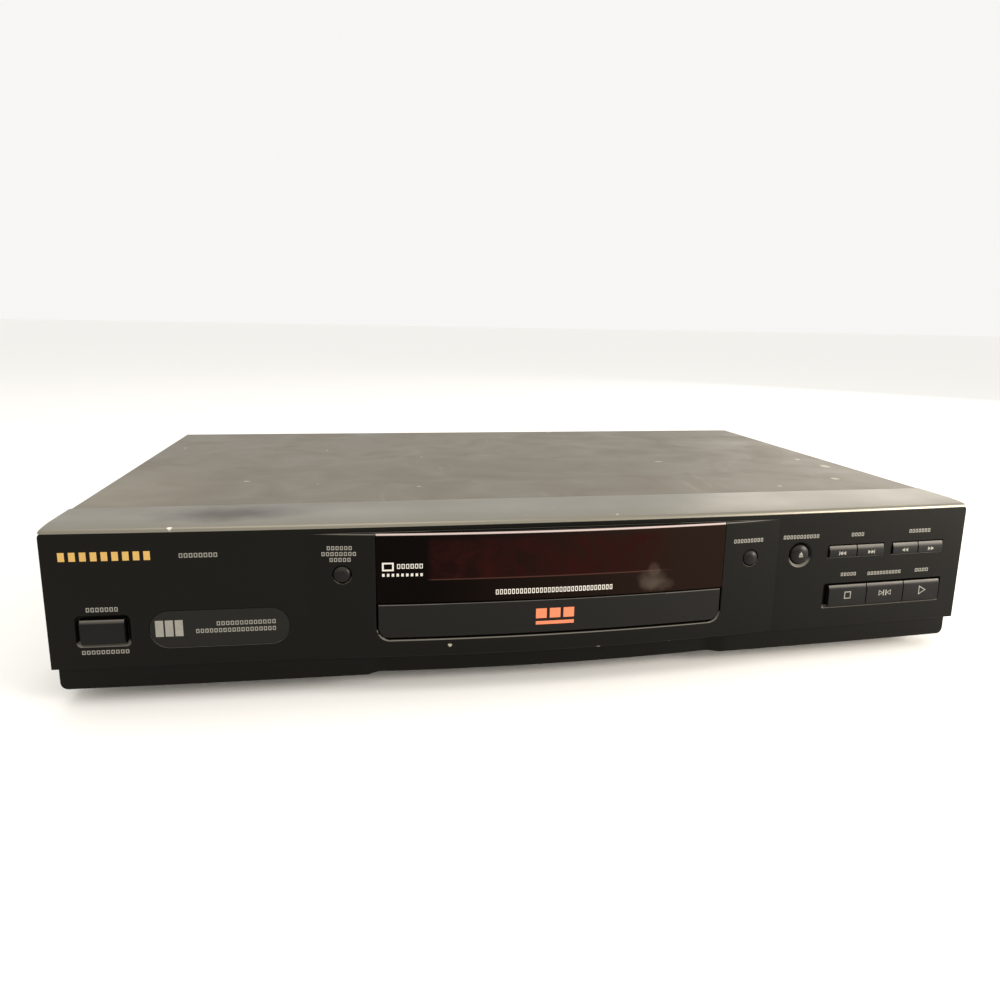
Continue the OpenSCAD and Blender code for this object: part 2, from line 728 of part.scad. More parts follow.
// Back of the front panel's walls, followed by whatever stands on them
module front_panel() {
    color("#1e1c1a") framed() difference() {
        union() {
            difference() {
                intersection() {
                    union() {
                        behind_bow(0, skirt_top_z, panel_top_z);
                        intersection() {
                            behind_bulge(0, skirt_top_z, bulge_top_z);
                            block([-bulge_x - bulge_wall, -front_reach, skirt_top_z],
                                  [bulge_x + bulge_wall, 0, bulge_top_z]);
                        }
                    }
                    along_y(-front_reach, trim_depth) panel_outline(skirt_top_z, top_z);
                }
                intersection() {
                    behind_bow(fascia_wall, skirt_top_z - cut, panel_top_z - fascia_wall);
                    block([-panel_x + side_wall, -front_reach, skirt_top_z - cut],
                          [panel_x - side_wall, trim_depth + cut, panel_top_z - fascia_wall]);
                }
                intersection() {
                    behind_bulge(fascia_wall, skirt_top_z + fascia_wall, bulge_top_z - fascia_wall);
                    block([-bulge_x + bulge_wall, -front_reach, skirt_top_z],
                          [bulge_x - bulge_wall, trim_depth, bulge_top_z]);
                }
            }
            intersection() {
                bow_slice(-panel_x, panel_x, 0, skirt_setback + fascia_wall, skirt_top_z,
                          skirt_top_z + fascia_wall);
                block([-panel_x, -front_reach, base_z], [panel_x, chassis_front_y - seat_gap, panel_top_z]);
            }
            difference() {
                intersection() {
                    behind_bow(skirt_setback, base_z, skirt_top_z + touch);
                    block([-panel_x + skirt_inset, -front_reach, base_z],
                          [panel_x - skirt_inset, trim_depth, skirt_top_z + touch]);
                }
                intersection() {
                    behind_bow(skirt_setback + fascia_wall, base_z + fascia_wall, skirt_top_z + cut);
                    block([-panel_x + skirt_inset + side_wall, -front_reach, base_z],
                          [panel_x - skirt_inset - side_wall, trim_depth + cut, skirt_top_z + cut]);
                }
                block([-panel_x + skirt_inset + side_wall, chassis_front_y - seat_gap, base_z - cut],
                      [panel_x - skirt_inset - side_wall, trim_depth + cut, skirt_top_z + cut]);
            }
            for (k = [power_key, transport_key(1)])
                recess_pad(k);
            for (p = panel_boss_xz)
                along_y(face_y(p[0]) + fascia_wall - touch, front_board_y) translate(p) circle(d = stand_d);
            for (p = display_boss_xz)
                bar_y(p[0], p[1], display_boss_d, face_y(p[0]) + fascia_wall - touch, front_board_y);
        }
        // Opening for the tray, its door and the window
        along_y(-front_reach, loader_low_y0) opening_outline(bulge_top_z - fascia_wall);
        bulge_slice(-opening_w / 2, opening_w / 2, -cut, window_wall + window_fit, window_z,
                    bulge_top_z + cut / 2);
        // Recesses and holes for the buttons
        for (k = [power_key])
            recess_cut(k[0] - k[2] / 2, k[0] + k[2] / 2);
        recess_cut(transport_key(2)[0] - transport_w / 2, transport_x1);
        for (k = square_keys)
            along_y(-front_reach, chassis_front_y + fascia_wall)
                translate([k[0], k[1]]) square([k[2] + 2 * key_gap, k[3] + 2 * key_gap], center = true);
        for (k = round_keys) bar_y(k[0], k[1], k[2] + 2 * key_gap, -front_reach, chassis_front_y);
        bow_slice_badge(-cut, badge_t + touch, 0);
        for (p = panel_boss_xz) bar_y(p[0], p[1], pilot_d, front_board_y - pilot_len, front_board_y + cut);
        for (p = display_boss_xz)
            bar_y(p[0], p[1], thin_pilot_d, front_board_y - pilot_len, front_board_y + cut);
    }
}

// Screw bosses that carry the boards behind the front panel, and the trim's seat
panel_boss_xz = [
    [left_board_x0 + board_inset, key_board_z1 - board_inset],
    [left_board_x1 - board_inset, key_board_z0 + board_inset],
    [right_board_x0 + board_inset, key_board_z0 + board_inset],
    [right_board_x1 - board_inset, key_board_z1 - board_inset]
];

// Opening, with the tray door's rounded lower corners
module opening_outline(z1) {
    z0 = door_z - door_gap;
    r = door_corner_r + door_gap;
    translate([-opening_w / 2, z0 + r]) square([opening_w, z1 - z0 - r]);
    translate([-opening_w / 2 + r, z0]) square([opening_w - 2 * r, r + cut]);
    for (s = [-1, 1]) translate([s * (opening_w / 2 - r), z0 + r]) circle(r);
}

// Shallow recess round buttons that stand between x0 and x1
module recess_cut(x0, x1) {
    h = transport_h / 2 + recess_margin;
    bow_slice(x0 - recess_margin, x1 + recess_margin, -cut, recess_depth, lower_z - h, lower_z + h);
}

// Thickening behind a recess
module recess_pad(k) {
    w = (k[2] == power_w ? power_w / 2 : transport_w * 1.5 + key_gap) + recess_margin + fascia_wall;
    h = transport_h / 2 + recess_margin + fascia_wall;
    bow_slice(k[0] - w, k[0] + w, fascia_wall - touch, recess_depth + fascia_wall, lower_z - h, lower_z + h);
}

// Slice of the bow in the badge's shape
module bow_slice_badge(depth0, depth1, shrink) {
    intersection() {
        bow_slice(-panel_x, 0, depth0, depth1, lower_z - badge_h, lower_z + badge_h);
        along_y(-front_reach, trim_depth) translate([-panel_x + badge_inset, lower_z])
            round_rect(badge_w - 2 * shrink, badge_h - 2 * shrink, badge_h / 2 - shrink - touch / 10);
    }
}

trim_edge_drop = 0.4;
tongue_inset = 4;
tongue_root = 3;
tongue_len = 5;

module badge_plate() {
    color("#3a3835") framed() bow_slice_badge(0, badge_t, touch);
}

// Rolled front edge of the trim, swept round the wide bow
module trim_profile() {
    rise = trim_fall - trim_edge_drop;
    polygon([
        [bow_r - trim_depth - front_bow - cut, panel_top_z],
        [bow_r, panel_top_z],
        for (a = [0 : 10 : 90])
            [bow_r - trim_edge_r * (1 - cos(a)), panel_top_z + rise - trim_edge_r * (1 - sin(a))],
        [bow_r - trim_depth + front_bow, top_z],
        [bow_r - trim_depth - front_bow - cut, top_z]
    ]);
}

module top_trim() {
    color("#b9b5a7") framed() {
        intersection() {
            translate([0, bow_r - front_bow, 0]) rotate_extrude($fn = bow_fn) trim_profile();
            along_y(-front_reach, trim_depth) panel_outline(base_z, top_z);
        }
        // Tongue that the cover's front edge lies on
        block([-panel_x + tongue_inset, trim_depth - tongue_root, panel_top_z],
              [panel_x - tongue_inset, trim_depth + tongue_len, cover_inner_z - seat_gap]);
    }
}

clip_w = 3;
clip_t = 1.5;
clip_z0 = display_boss_z[0] + display_boss_d / 2 + 1;
clip_z1 = display_boss_z[1] - display_boss_d / 2 - 1;

module display_window() {
    color("#3a1714", 0.75) framed() {
        bulge_slice(-window_x, window_x, 0, window_wall, window_z, bulge_top_z);
        // Clips that reach behind the opening's sides
        for (s = [-1, 1]) {
            bulge_slice(s * window_x - clip_w, s * window_x + clip_w, fascia_wall + seat_gap,
                        fascia_wall + clip_t, clip_z0, clip_z1);
            bulge_slice(s < 0 ? -window_x : window_x - clip_w, s < 0 ? -window_x + clip_w : window_x,
                        window_wall - touch, fascia_wall + clip_t, clip_z0, clip_z1);
        }
    }
}

module rear_panel() {
    color("#34332f") framed() difference() {
        block([-chassis_x, rear_y, base_z], [chassis_x, lip_y, cover_inner_z - seat_gap]);
        for (p = phono_xz) bar_y(p[0], p[1], phono_d + 2 * panel_hole_gap, rear_y - cut, lip_y + cut);
        bar_y(video_x, video_z, video_d + 2 * panel_hole_gap, rear_y - cut, lip_y + cut);
        bar_y(digital_x, digital_z, phono_d + 2 * panel_hole_gap, rear_y - cut, lip_y + cut);
        along_y(rear_y - cut, lip_y + cut) translate([-inlet_x, inlet_z])
            square([inlet_box_w + 2 * panel_hole_gap, inlet_box_h + 2 * panel_hole_gap], center = true);
        for (s = [-1, 1]) bar_y(s * lip_screw_x, lip_screw_z, pilot_d, rear_y - cut, lip_y + cut);
    }
}

foot_bevel = 1;
foot_hole_room = 4;

module foot(n) {
    color("#26241f") framed() translate([foot_xy[n][0], foot_xy[n][1], 0]) difference() {
        rotate_extrude() polygon([[0, 0], [foot_d / 2 - foot_bevel, 0], [foot_d / 2, foot_bevel],
                                  [foot_d / 2, foot_h - foot_bevel], [foot_d / 2 - foot_bevel, foot_h],
                                  [0, foot_h]]);
        translate([0, 0, -cut]) cylinder(d = screw_head_d + foot_hole_room, h = foot_h / 2 + cut);
        translate([0, 0, -cut]) cylinder(d = pilot_d, h = foot_h + 2 * cut);
    }
}

module foot_front_left() foot(0);
module foot_front_right() foot(1);
module foot_rear_left() foot(2);
module foot_rear_right() foot(3);

// ---- Rear sockets ----

phono_xz = [for (c = [-1, 0, 1], r = [0, 1]) [phono_x + c * phono_pitch, phono_z + r * phono_pitch]];

module phono_block() {
    w = phono_block_w - 2 * seat_gap;
    color("#1b1b1b") framed() difference() {
        union() {
            block([phono_x - w / 2, rear_y - socket_body_depth, board_top_z],
                  [phono_x + w / 2, rear_y - seat_gap, board_top_z + phono_block_h]);
            for (p = phono_xz) bar_y(p[0], p[1], phono_d - phono_step, rear_y - cut, back_y - cut);
        }
        for (p = phono_xz) bar_y(p[0], p[1], phono_hole_d, back_y - phono_hole_depth, back_y + cut);
    }
}

module phono_sleeves() {
    color("#c9c3a8") framed() for (p = phono_xz) phono_sleeve(p);
}

// Metal sleeve of one phono socket
module phono_sleeve(p) {
    difference() {
        bar_y(p[0], p[1], phono_d, lip_y + seat_gap, back_y);
        bar_y(p[0], p[1], phono_d - phono_step + 2 * run_fit, lip_y, back_y + cut);
    }
}

module video_socket() {
    color("#1b1b1b") framed() difference() {
        union() {
            block([video_x - video_w / 2, rear_y - socket_body_depth, board_top_z],
                  [video_x + video_w / 2, rear_y - seat_gap, video_z + video_w / 2]);
            bar_y(video_x, video_z, video_d, rear_y - cut, lip_y + 2 * socket_flange);
        }
        difference() {
            bar_y(video_x, video_z, video_d - 2 * video_wall, rear_y - video_depth, back_y);
            bar_y(video_x, video_z, video_core_d, rear_y - video_depth - cut, back_y);
        }
    }
}

module digital_socket() {
    color("#c67a2a") framed() difference() {
        union() {
            block([digital_x - digital_w / 2, rear_y - socket_body_depth, board_top_z],
                  [digital_x + digital_w / 2, rear_y - seat_gap, board_top_z + phono_pitch]);
            bar_y(digital_x, digital_z, phono_d - phono_step, rear_y - cut, back_y);
            bar_y(digital_x, digital_z, phono_d, lip_y + seat_gap, back_y);
        }
        bar_y(digital_x, digital_z, phono_hole_d, back_y - phono_hole_depth, back_y + cut);
    }
}

module mains_inlet() {
    x0 = -inlet_x - inlet_box_w / 2;
    x1 = -inlet_x + inlet_box_w / 2;
    y1 = lip_y + socket_flange;
    color("#141414") framed() difference() {
        union() {
            block([x0, inlet_y0, inlet_z - inlet_box_h / 2], [x1, y1, inlet_z + inlet_box_h / 2]);
            block([x0, inlet_y0, board_top_z], [x1, rear_y - seat_gap, inlet_z]);
        }
        along_y(y1 - inlet_depth, back_y) translate([-inlet_x, inlet_z]) {
            square([inlet_w - inlet_h, inlet_h], center = true);
            for (s = [-1, 1]) translate([s * (inlet_w - inlet_h) / 2, 0]) circle(d = inlet_h);
        }
        for (s = [-1, 1])
            bar_y(-inlet_x + s * inlet_pin_pitch / 2, inlet_z, inlet_pin_d + press_fit, inlet_y0 - cut, back_y);
    }
}

module inlet_pins() {
    color("#c9c9c9") framed() for (s = [-1, 1])
        bar_y(-inlet_x + s * inlet_pin_pitch / 2, inlet_z, inlet_pin_d, inlet_y0,
              lip_y + socket_flange - inlet_back);
}

// ---- Boards ----

module board(x0, x1) {
    difference() {
        block([x0, board_y0, board_z], [x1, board_y1, board_top_z]);
        for (x = [x0 + board_inset, x1 - board_inset], y = [board_y0 + board_inset, board_y1 - board_inset])
            post(x, y, through_d, board_z - cut, board_top_z + cut);
    }
}

module main_board() {
    color("#3f6b3a") framed() board(main_board_x0, main_board_x1);
}

// Square chips on the main board: [share of width, share of depth, size]
chip_places = [[0.3, 0.2, 24], [0.68, 0.22, 20], [0.32, 0.48, 16], [0.66, 0.5, 14], [0.5, 0.7, 12]];
chip_t = 3;

module board_chips() {
    color("#151515") framed() for (c = chip_places)
        translate([main_board_x0 + c[0] * main_board_w, board_y0 + c[1] * board_depth, board_top_z + chip_t / 2])
            cube([c[2], c[2], chip_t], center = true);
}

module power_board() {
    color("#8a6a35") framed() board(power_board_x0, power_board_x1);
}

power_mid_x = (power_board_x0 + power_board_x1) / 2;
power_mid_y = (board_y0 + board_y1) / 2;
transformer_y = 40;
core_w = 34;
core_d = 22;
coil_w = 24;
coil_d = 34;
coil_h = transformer_h - 8;
heatsink_w = 60;
fin_pitch = 7;
fin_len = 10;
fin_t = 2;
capacitor_y = 45;
capacitor_gap = 8;

module power_transformer() {
    color("#caa44a") framed() {
        translate([power_mid_x, power_mid_y + transformer_y, board_top_z + transformer_h / 2]) {
            cube([core_w, core_d, transformer_h], center = true);
            cube([coil_w, coil_d, coil_h], center = true);
        }
    }
}

module heatsink() {
    color("#b8bcbf") framed() {
        translate([power_mid_x, power_mid_y, board_top_z + heatsink_h / 2]) {
            cube([heatsink_w, fin_t, heatsink_h], center = true);
            for (n = [-4 : 4])
                translate([n * fin_pitch, fin_len / 2, 0]) cube([fin_t, fin_len, heatsink_h], center = true);
        }
    }
}

module smoothing_capacitors() {
    color("#22324a") framed() for (n = [0, 1])
        post(power_mid_x + (n - 0.5) * (capacitor_d + capacitor_gap), power_mid_y - capacitor_y, capacitor_d,
             board_top_z, board_top_z + capacitor_h);
}

// Board behind the front panel, held by its bosses
module front_board(x0, x1, z0, z1) {
    difference() {
        block([x0, front_board_y, z0], [x1, front_board_y + board_t, z1]);
        for (p = panel_boss_xz)
            bar_y(p[0], p[1], through_d, front_board_y - cut, front_board_y + board_t + cut);
        for (p = display_boss_xz)
            bar_y(p[0], p[1], thin_through_d, front_board_y - cut, front_board_y + board_t + cut);
    }
}

module left_key_board() {
    color("#8a6a35") framed() front_board(left_board_x0, left_board_x1, key_board_z0, key_board_z1);
}

module right_key_board() {
    color("#8a6a35") framed() front_board(right_board_x0, right_board_x1, key_board_z0, key_board_z1);
}

module display_board() {
    color("#8a6a35") framed()
        front_board(-display_board_x, display_board_x, display_board_z0, display_board_z1);
}

module display_tube() {
    color("#4a5a58") framed() {
        block([-tube_w / 2, tube_y, tube_z - tube_h / 2], [tube_w / 2, front_board_y, tube_z + tube_h / 2]);
        bar_x(tube_y + tube_t / 2, tube_z, tube_tip_d, tube_w / 2 - touch, tube_w / 2 + tube_tip_d);
    }
}

module key_switches() {
    color("#2b2b2b") framed() for (k = concat(square_keys, round_keys)) {
        translate([k[0], front_board_y - switch_t / 2, k[1]])
            cube([switch_w, switch_t, switch_w], center = true);
        bar_y(k[0], k[1], plunger_d, switch_y - plunger_t, switch_y + touch);
    }
}

// ---- Buttons ----

// Slice of the face that a button stands in
module key_slice(k, depth0, depth1, w, h) {
    x0 = k[0] - w / 2;
    x1 = k[0] + w / 2;
    if (k[4]) bulge_slice(x0, x1, depth0, depth1, k[1] - h / 2, k[1] + h / 2);
    else bow_slice(x0, x1, depth0, depth1, k[1] - h / 2, k[1] + h / 2);
}

// Rectangular button: stepped cap, flange behind the panel and a stem to its switch
module square_button(k) {
    back = (k[5] ? recess_depth : 0) + fascia_wall + seat_gap;
    flange_y = bow_y(k[0]) + back;
    color("#2a2826") framed() {
        key_slice(k, -key_proud + key_edge, back + key_flange_t, k[2], k[3]);
        key_slice(k, -key_proud, key_edge, k[2] - 2 * key_edge, k[3] - 2 * key_edge);
        key_slice(k, back, back + key_flange_t, k[2], k[3] + 2 * (key_gap + key_flange_over));
        block([k[0] - key_stem / 2, flange_y + key_flange_t / 2, k[1] - key_stem / 2],
              [k[0] + key_stem / 2, stem_y, k[1] + key_stem / 2]);
    }
}

// Round button with a domed cap
module round_button(k) {
    tip_y = face_y(k[0]) - key_proud;
    inner_y = face_y(k[0]) + fascia_wall + slope_room(k) + seat_gap;
    dome_r = (k[2] * k[2] / 4 + key_dome * key_dome) / (2 * key_dome);
    color("#2a2826") framed() {
        intersection() {
            translate([k[0], tip_y + dome_r, k[1]]) sphere(dome_r);
            bar_y(k[0], k[1], k[2], tip_y - cut, inner_y + touch);
        }
        bar_y(k[0], k[1], k[2] + 2 * (key_gap + key_flange_over), inner_y, inner_y + key_flange_t);
        bar_y(k[0], k[1], key_stem, inner_y, stem_y);
    }
}

// Extra depth that a flat flange needs behind a sloping wall
function slope_room(k) = (k[2] / 2 + key_gap + key_flange_over) * abs(k[0]) / (k[4] ? bulge_r : bow_r);

module power_button() square_button(power_key);
module stop_button() square_button(transport_key(2));
module pause_button() square_button(transport_key(1));
module play_button() square_button(transport_key(0));
module search_forward_button() square_button(search_key(0));
module search_back_button() square_button(search_key(1));
module skip_forward_button() square_button(skip_key(0));
module skip_back_button() square_button(skip_key(1));
module open_close_button() round_button(eject_key);
module surround_button() round_button(surround_key);
module scroll_button() round_button(scroll_key);

// ---- Tray ----

module tray_door() {
    color("#32312f") framed() intersection() {
        bulge_slice(-door_x, door_x, 0, door_wall, door_z, door_top_z);
        along_y(-front_reach, trim_depth) {
            translate([-door_x, door_z + door_corner_r]) square([2 * door_x, door_h - door_corner_r]);
            translate([-door_x + door_corner_r, door_z])
                square([2 * (door_x - door_corner_r), door_corner_r + cut]);
            for (s = [-1, 1])
                translate([s * (door_x - door_corner_r), door_z + door_corner_r]) circle(door_corner_r);
        }
    }
}

// Straight teeth along Y that point to -X
module rack_outline() {
    half = tooth_pitch / 4 - backlash / 2;
    slope = tan(pressure_angle);
    y0 = drive_y - 2 * tooth_pitch;
    y1 = y0 + rack_teeth * tooth_pitch;
    polygon([
        [-rack_x + dedendum + rack_back_w, y1],
        [-rack_x + dedendum + rack_back_w, y0],
        [-rack_x + dedendum, y0],
        for (n = [0 : rack_teeth - 1]) each [
            [-rack_x + dedendum, y0 + (n + 0.5) * tooth_pitch - half - dedendum * slope],
            [-rack_x - addendum, y0 + (n + 0.5) * tooth_pitch - half + addendum * slope],
            [-rack_x - addendum, y0 + (n + 0.5) * tooth_pitch + half - addendum * slope],
            [-rack_x + dedendum, y0 + (n + 0.5) * tooth_pitch + half + dedendum * slope]
        ],
        [-rack_x + dedendum, y1]
    ]);
}

module disc_tray() {
    floor_top = tray_top_z - disc_recess_h;
    color("#1f1f1f") framed() {
        difference() {
            intersection() {
                block([-tray_front_x, -front_reach, tray_z], [tray_front_x, tray_rear_y, tray_top_z]);
                behind_bulge(door_wall, tray_z - cut, tray_top_z + cut);
            }
            post(0, disc_y, disc_recess_d, floor_top, tray_top_z + cut);
            post(0, disc_y, small_recess_d, floor_top - small_recess_h, tray_top_z);
            post(0, disc_y, tray_hole_d, tray_z - cut, tray_top_z);
            block([-tray_slot_w / 2, disc_y, tray_z - cut], [tray_slot_w / 2, tray_slot_y, tray_top_z + cut]);
            // Finger scoops beside the disc
            for (s = [-1, 1])
                post(s * disc_recess_d / 2, disc_y, scoop_d, floor_top + scoop_step, tray_top_z + cut);
            block([-tray_front_x + tray_rim_w, tray_slot_y + tray_rim_w, tray_z + tray_floor_t],
                  [tray_front_x - tray_rim_w, tray_rear_y - tray_rim_w, tray_top_z + cut]);
        }
        translate([0, 0, rack_z]) linear_extrude(rack_h + touch) rack_outline();
    }
}

// ---- Loading drive ----

function inv_deg(rb, r) = tan(acos(rb / r)) * 180 / PI - acos(rb / r);

// Involute tooth flank points, from the root to the tip, as angle and radius
function flank(teeth, side, centre) =
    let (r = tooth_m * teeth / 2,
         rb = r * cos(pressure_angle),
         half = (tooth_pitch / 4 - backlash / 2) / r * 180 / PI + inv_deg(rb, r),
         r0 = max(rb, r - dedendum),
         r1 = r + addendum,
         steps = 4)
    concat([[r - dedendum, centre + side * (half - inv_deg(rb, r0))]],
           [for (i = [0 : steps]) let (q = r0 + (r1 - r0) * i / steps)
               [q, centre + side * (half - inv_deg(rb, q))]]);

function reversed(list) = [for (i = [len(list) - 1 : -1 : 0]) list[i]];

// Gear outline with one tooth centred on the angle "phase"
module gear_outline(teeth, phase) {
    polygon([
        for (n = [0 : teeth - 1])
            for (p = concat(flank(teeth, -1, phase + n * 360 / teeth),
                            reversed(flank(teeth, 1, phase + n * 360 / teeth))))
                [p[0] * cos(p[1]), p[0] * sin(p[1])]
    ]);
}

module drive_gear() {
    color("#d8d4c4") framed() translate([drive_x, drive_y, 0]) difference() {
        union() {
            translate([0, 0, gear_z]) linear_extrude(gear_top_z - gear_z) gear_outline(drive_teeth, 0);
            translate([0, 0, plate_top_z + seat_gap]) cylinder(d = gear_hub_d, h = gear_z - plate_top_z);
        }
        translate([0, 0, plate_z]) cylinder(r = post_d / 2 + run_fit, h = tray_z);
    }
}

// Groove for the belt in a pulley of diameter d, as a turned ring
module belt_groove(d) {
    translate([0, 0, groove_z]) difference() {
        cylinder(d = d + 2, h = groove_h);
        translate([0, 0, -cut]) cylinder(d = d - 2 * groove_depth, h = groove_h + 2 * cut);
    }
}

module belt_pulley() {
    color("#e3dfcf") framed() translate([belt_x, belt_y, 0]) difference() {
        union() {
            translate([0, 0, pulley_z]) cylinder(d = belt_pulley_d, h = pulley_h);
            translate([0, 0, pulley_top_z - touch]) linear_extrude(gear_top_z - pulley_top_z + touch)
                gear_outline(pinion_teeth, 0);
        }
        belt_groove(belt_pulley_d);
        translate([0, 0, plate_z]) cylinder(r = post_d / 2 + run_fit, h = tray_z);
    }
}

module motor_pulley() {
    color("#d0b070") framed() translate([belt_x, motor_y, 0]) difference() {
        translate([0, 0, pulley_z]) cylinder(d = motor_pulley_d, h = pulley_h);
        belt_groove(motor_pulley_d);
        translate([0, 0, plate_z]) cylinder(r = spindle_d / 2 + run_fit, h = tray_z);
    }
}

module loading_motor() {
    color("#a8aaac") framed() {
        post(belt_x, motor_y, loading_motor_d, loader_low_z, plate_z);
        post(belt_x, motor_y, motor_boss_d, plate_z - touch, plate_top_z);
        post(belt_x, motor_y, spindle_d, plate_top_z - touch, pulley_top_z);
    }
}

// Outline round both pulleys at a clearance from their grooves
module belt_loop(grow) {
    hull() {
        translate([belt_x, belt_y]) circle(r = belt_pulley_d / 2 - groove_depth + grow, $fn = 48);
        translate([belt_x, motor_y]) circle(r = motor_pulley_d / 2 - groove_depth + grow, $fn = 48);
    }
}

module drive_belt() {
    color("#141414") framed() translate([0, 0, groove_z + (groove_h - belt_h) / 2]) linear_extrude(belt_h)
        difference() {
            belt_loop(belt_t);
            belt_loop(touch);
        }
}

module loader_frame() {
    color("#2c2c2a") framed() difference() {
        union() {
            for (s = [-1, 1]) {
                side_block(s, rail_x, rail_out_x, loader_y0, loader_y1, plate_top_z, bridge_z);
                side_block(s, rail_x, rail_out_x, loader_low_y0, loader_y1, loader_low_z, plate_top_z + touch);
                // Rails under and over the tray's edges
                side_block(s, rail_x - rail_ledge, rail_x + touch, loader_y0, tray_rear_y + rail_ledge,
                           tray_z - rail_gap - rail_ledge, tray_z - rail_gap);
                side_block(s, rail_x - rail_ledge, rail_x + touch, loader_y0, disc_y + guard_reach,
                           tray_top_z + rail_gap, tray_top_z + rail_gap + guard_t);
                for (y = loader_post_y)
                    side_block(s, rail_out_x - touch, loader_post_x + stand_d / 2, y - lug_w / 2, y + lug_w / 2,
                               loader_lug_z, loader_lug_z + loader_lug_t);
                side_block(s, pivot_lug_x, pivot_lug_x + pivot_lug_w, pivot_y - pivot_lug_r, loader_y1,
                           traverse_z, pivot_z + pivot_lug_r);
            }
            // Cross members
            block([-rail_out_x, loader_low_y0, loader_low_z],
                  [rail_out_x, loader_low_y0 + cross_t, rack_z - rail_gap - cut]);
            block([-rail_out_x, loader_y1 - 2 * cross_t, loader_low_z], [rail_out_x, loader_y1, tray_top_z]);
            // Channel that guides the lift slider
            block([-rail_out_x, slider_y - channel_wall - seat_gap, loader_low_z],
                  [rail_out_x, slider_y + slider_t + channel_wall + seat_gap, slider_z + channel_lip]);
            // Deck and posts for the gear train
            block([-rail_out_x, loader_low_y0, plate_z],
                  [-rack_x, slider_y - channel_wall - seat_gap + touch, plate_top_z]);
            block([-rail_out_x, loader_low_y0, plate_z],
                  [belt_x + belt_pulley_d / 2, belt_y + belt_pulley_d / 2, plate_top_z]);
            post(drive_x, drive_y, post_d, plate_z, gear_top_z);
            post(belt_x, belt_y, post_d, plate_z, gear_top_z);
        }
        block([slider_x0 - slider_room, slider_y - seat_gap, slider_z - seat_gap],
              [slider_x1 + slider_travel + slider_room, slider_y + slider_t + seat_gap, slider_top_z]);
        post(belt_x, motor_y, motor_boss_d + 2 * seat_gap, plate_z - cut, plate_top_z + cut);
        post(belt_x, motor_y, loading_motor_d + 2 * seat_gap, loader_low_z - cut, plate_z);
        bar_x(pivot_y, pivot_z, pivot_pin_d + 2 * run_fit, -pivot_lug_x - pivot_lug_w - cut,
              pivot_lug_x + pivot_lug_w + cut);
        for (p = loader_post_xy)
            post(p[0], p[1], through_d, loader_lug_z - cut, loader_lug_z + loader_lug_t + cut);
        for (s = [-1, 1]) post(s * bridge_screw_x, disc_y, thin_pilot_d, bridge_z - pilot_len, bridge_z + cut);
    }
}

// Block mirrored to the left or right side
module side_block(s, x0, x1, y0, y1, z0, z1) {
    block([s > 0 ? x0 : -x1, y0, z0], [s > 0 ? x1 : -x0, y1, z1]);
}

module clamp_bridge() {
    color("#9ea09c") framed() difference() {
        block([-rail_out_x, disc_y - bridge_depth / 2, bridge_z],
              [rail_out_x, disc_y + bridge_depth / 2, bridge_z + bridge_t]);
        post(0, disc_y, clamper_neck_d + 2, bridge_z - cut, bridge_z + bridge_t + cut);
        for (s = [-1, 1])
            post(s * bridge_screw_x, disc_y, thin_through_d, bridge_z - cut, bridge_z + bridge_t + cut);
    }
}

module clamper() {
    top = bridge_z + bridge_t + seat_gap;
    color("#e6e2d4") framed() difference() {
        union() {
            post(0, disc_y, clamper_d, clamp_face_z, bridge_z - seat_gap);
            post(0, disc_y, clamper_neck_d, clamp_face_z, top + touch);
            post(0, disc_y, clamper_d, top, top + clamper_flange_t);
        }
        post(0, disc_y, hub_d + 2 * hub_room, clamp_face_z - cut, clamp_face_z + hub_h);
    }
}

// ---- Traverse ----

module lowered() {
    translate([0, pivot_y, pivot_z]) rotate([lift_angle, 0, 0]) translate([0, -pivot_y, -pivot_z]) children();
}

module traverse_frame() {
    half = traverse_w / 2;
    color("#3a3a38") framed() lowered() difference() {
        union() {
            block([-half, traverse_y0, traverse_z], [half, traverse_y1, traverse_top_z]);
            bar_x(pivot_y, pivot_z, pivot_pin_d, -pivot_lug_x - pivot_lug_w, pivot_lug_x + pivot_lug_w);
            block([lift_pin_x[0] - pin_pad, traverse_y0, traverse_z],
                  [lift_pin_x[1] + pin_pad, traverse_y0 + pin_pad, lift_pin_z + pin_pad / 2]);
            for (x = lift_pin_x) bar_y(x, lift_pin_z, lift_pin_d, lift_pin_tip_y, traverse_y0 + touch);
        }
        block([-window_half_x, window_y0, traverse_z - cut],
              [window_half_x, window_y1, traverse_top_z + cut]);
        block([screw_x - sled_motor_room, window_y1 - cut, traverse_z - cut],
              [screw_x + sled_motor_room, sled_motor_y + sled_motor_len + cut, traverse_top_z + cut]);
        for (s = [-1, 1])
            bar_y(s * rod_x, rod_z, rod_d + press_fit, window_y0 - rod_seat, window_y1 + rod_seat);
        bar_y(screw_x, rod_z, screw_end_d + 2 * run_fit, window_y0 - rod_seat, window_y0 + cut);
    }
}

module guide_rods() {
    color("#c4c8ca") framed() lowered() for (s = [-1, 1])
        bar_y(s * rod_x, rod_z, rod_d, window_y0 - rod_seat, window_y1 + rod_seat);
}

module traverse_motors() {
    color("#9a9c9e") framed() lowered() {
        post(0, disc_y, spindle_motor_d, traverse_top_z, motor_top_z);
        post(0, disc_y, spindle_d, motor_top_z - touch, disc_plane_z + hub_h);
        // Motor that turns the lead screw
        bar_y(screw_x, rod_z, sled_motor_d, sled_motor_y, sled_motor_y + sled_motor_len);
        bar_y(screw_x, rod_z, spindle_d, window_y1 - rod_seat, sled_motor_y + touch);
        block([screw_x - sled_motor_room, sled_motor_y + 2, rod_z - 1],
              [screw_x + sled_motor_room, sled_motor_y + sled_motor_len - 2, rod_z + 1]);
    }
}

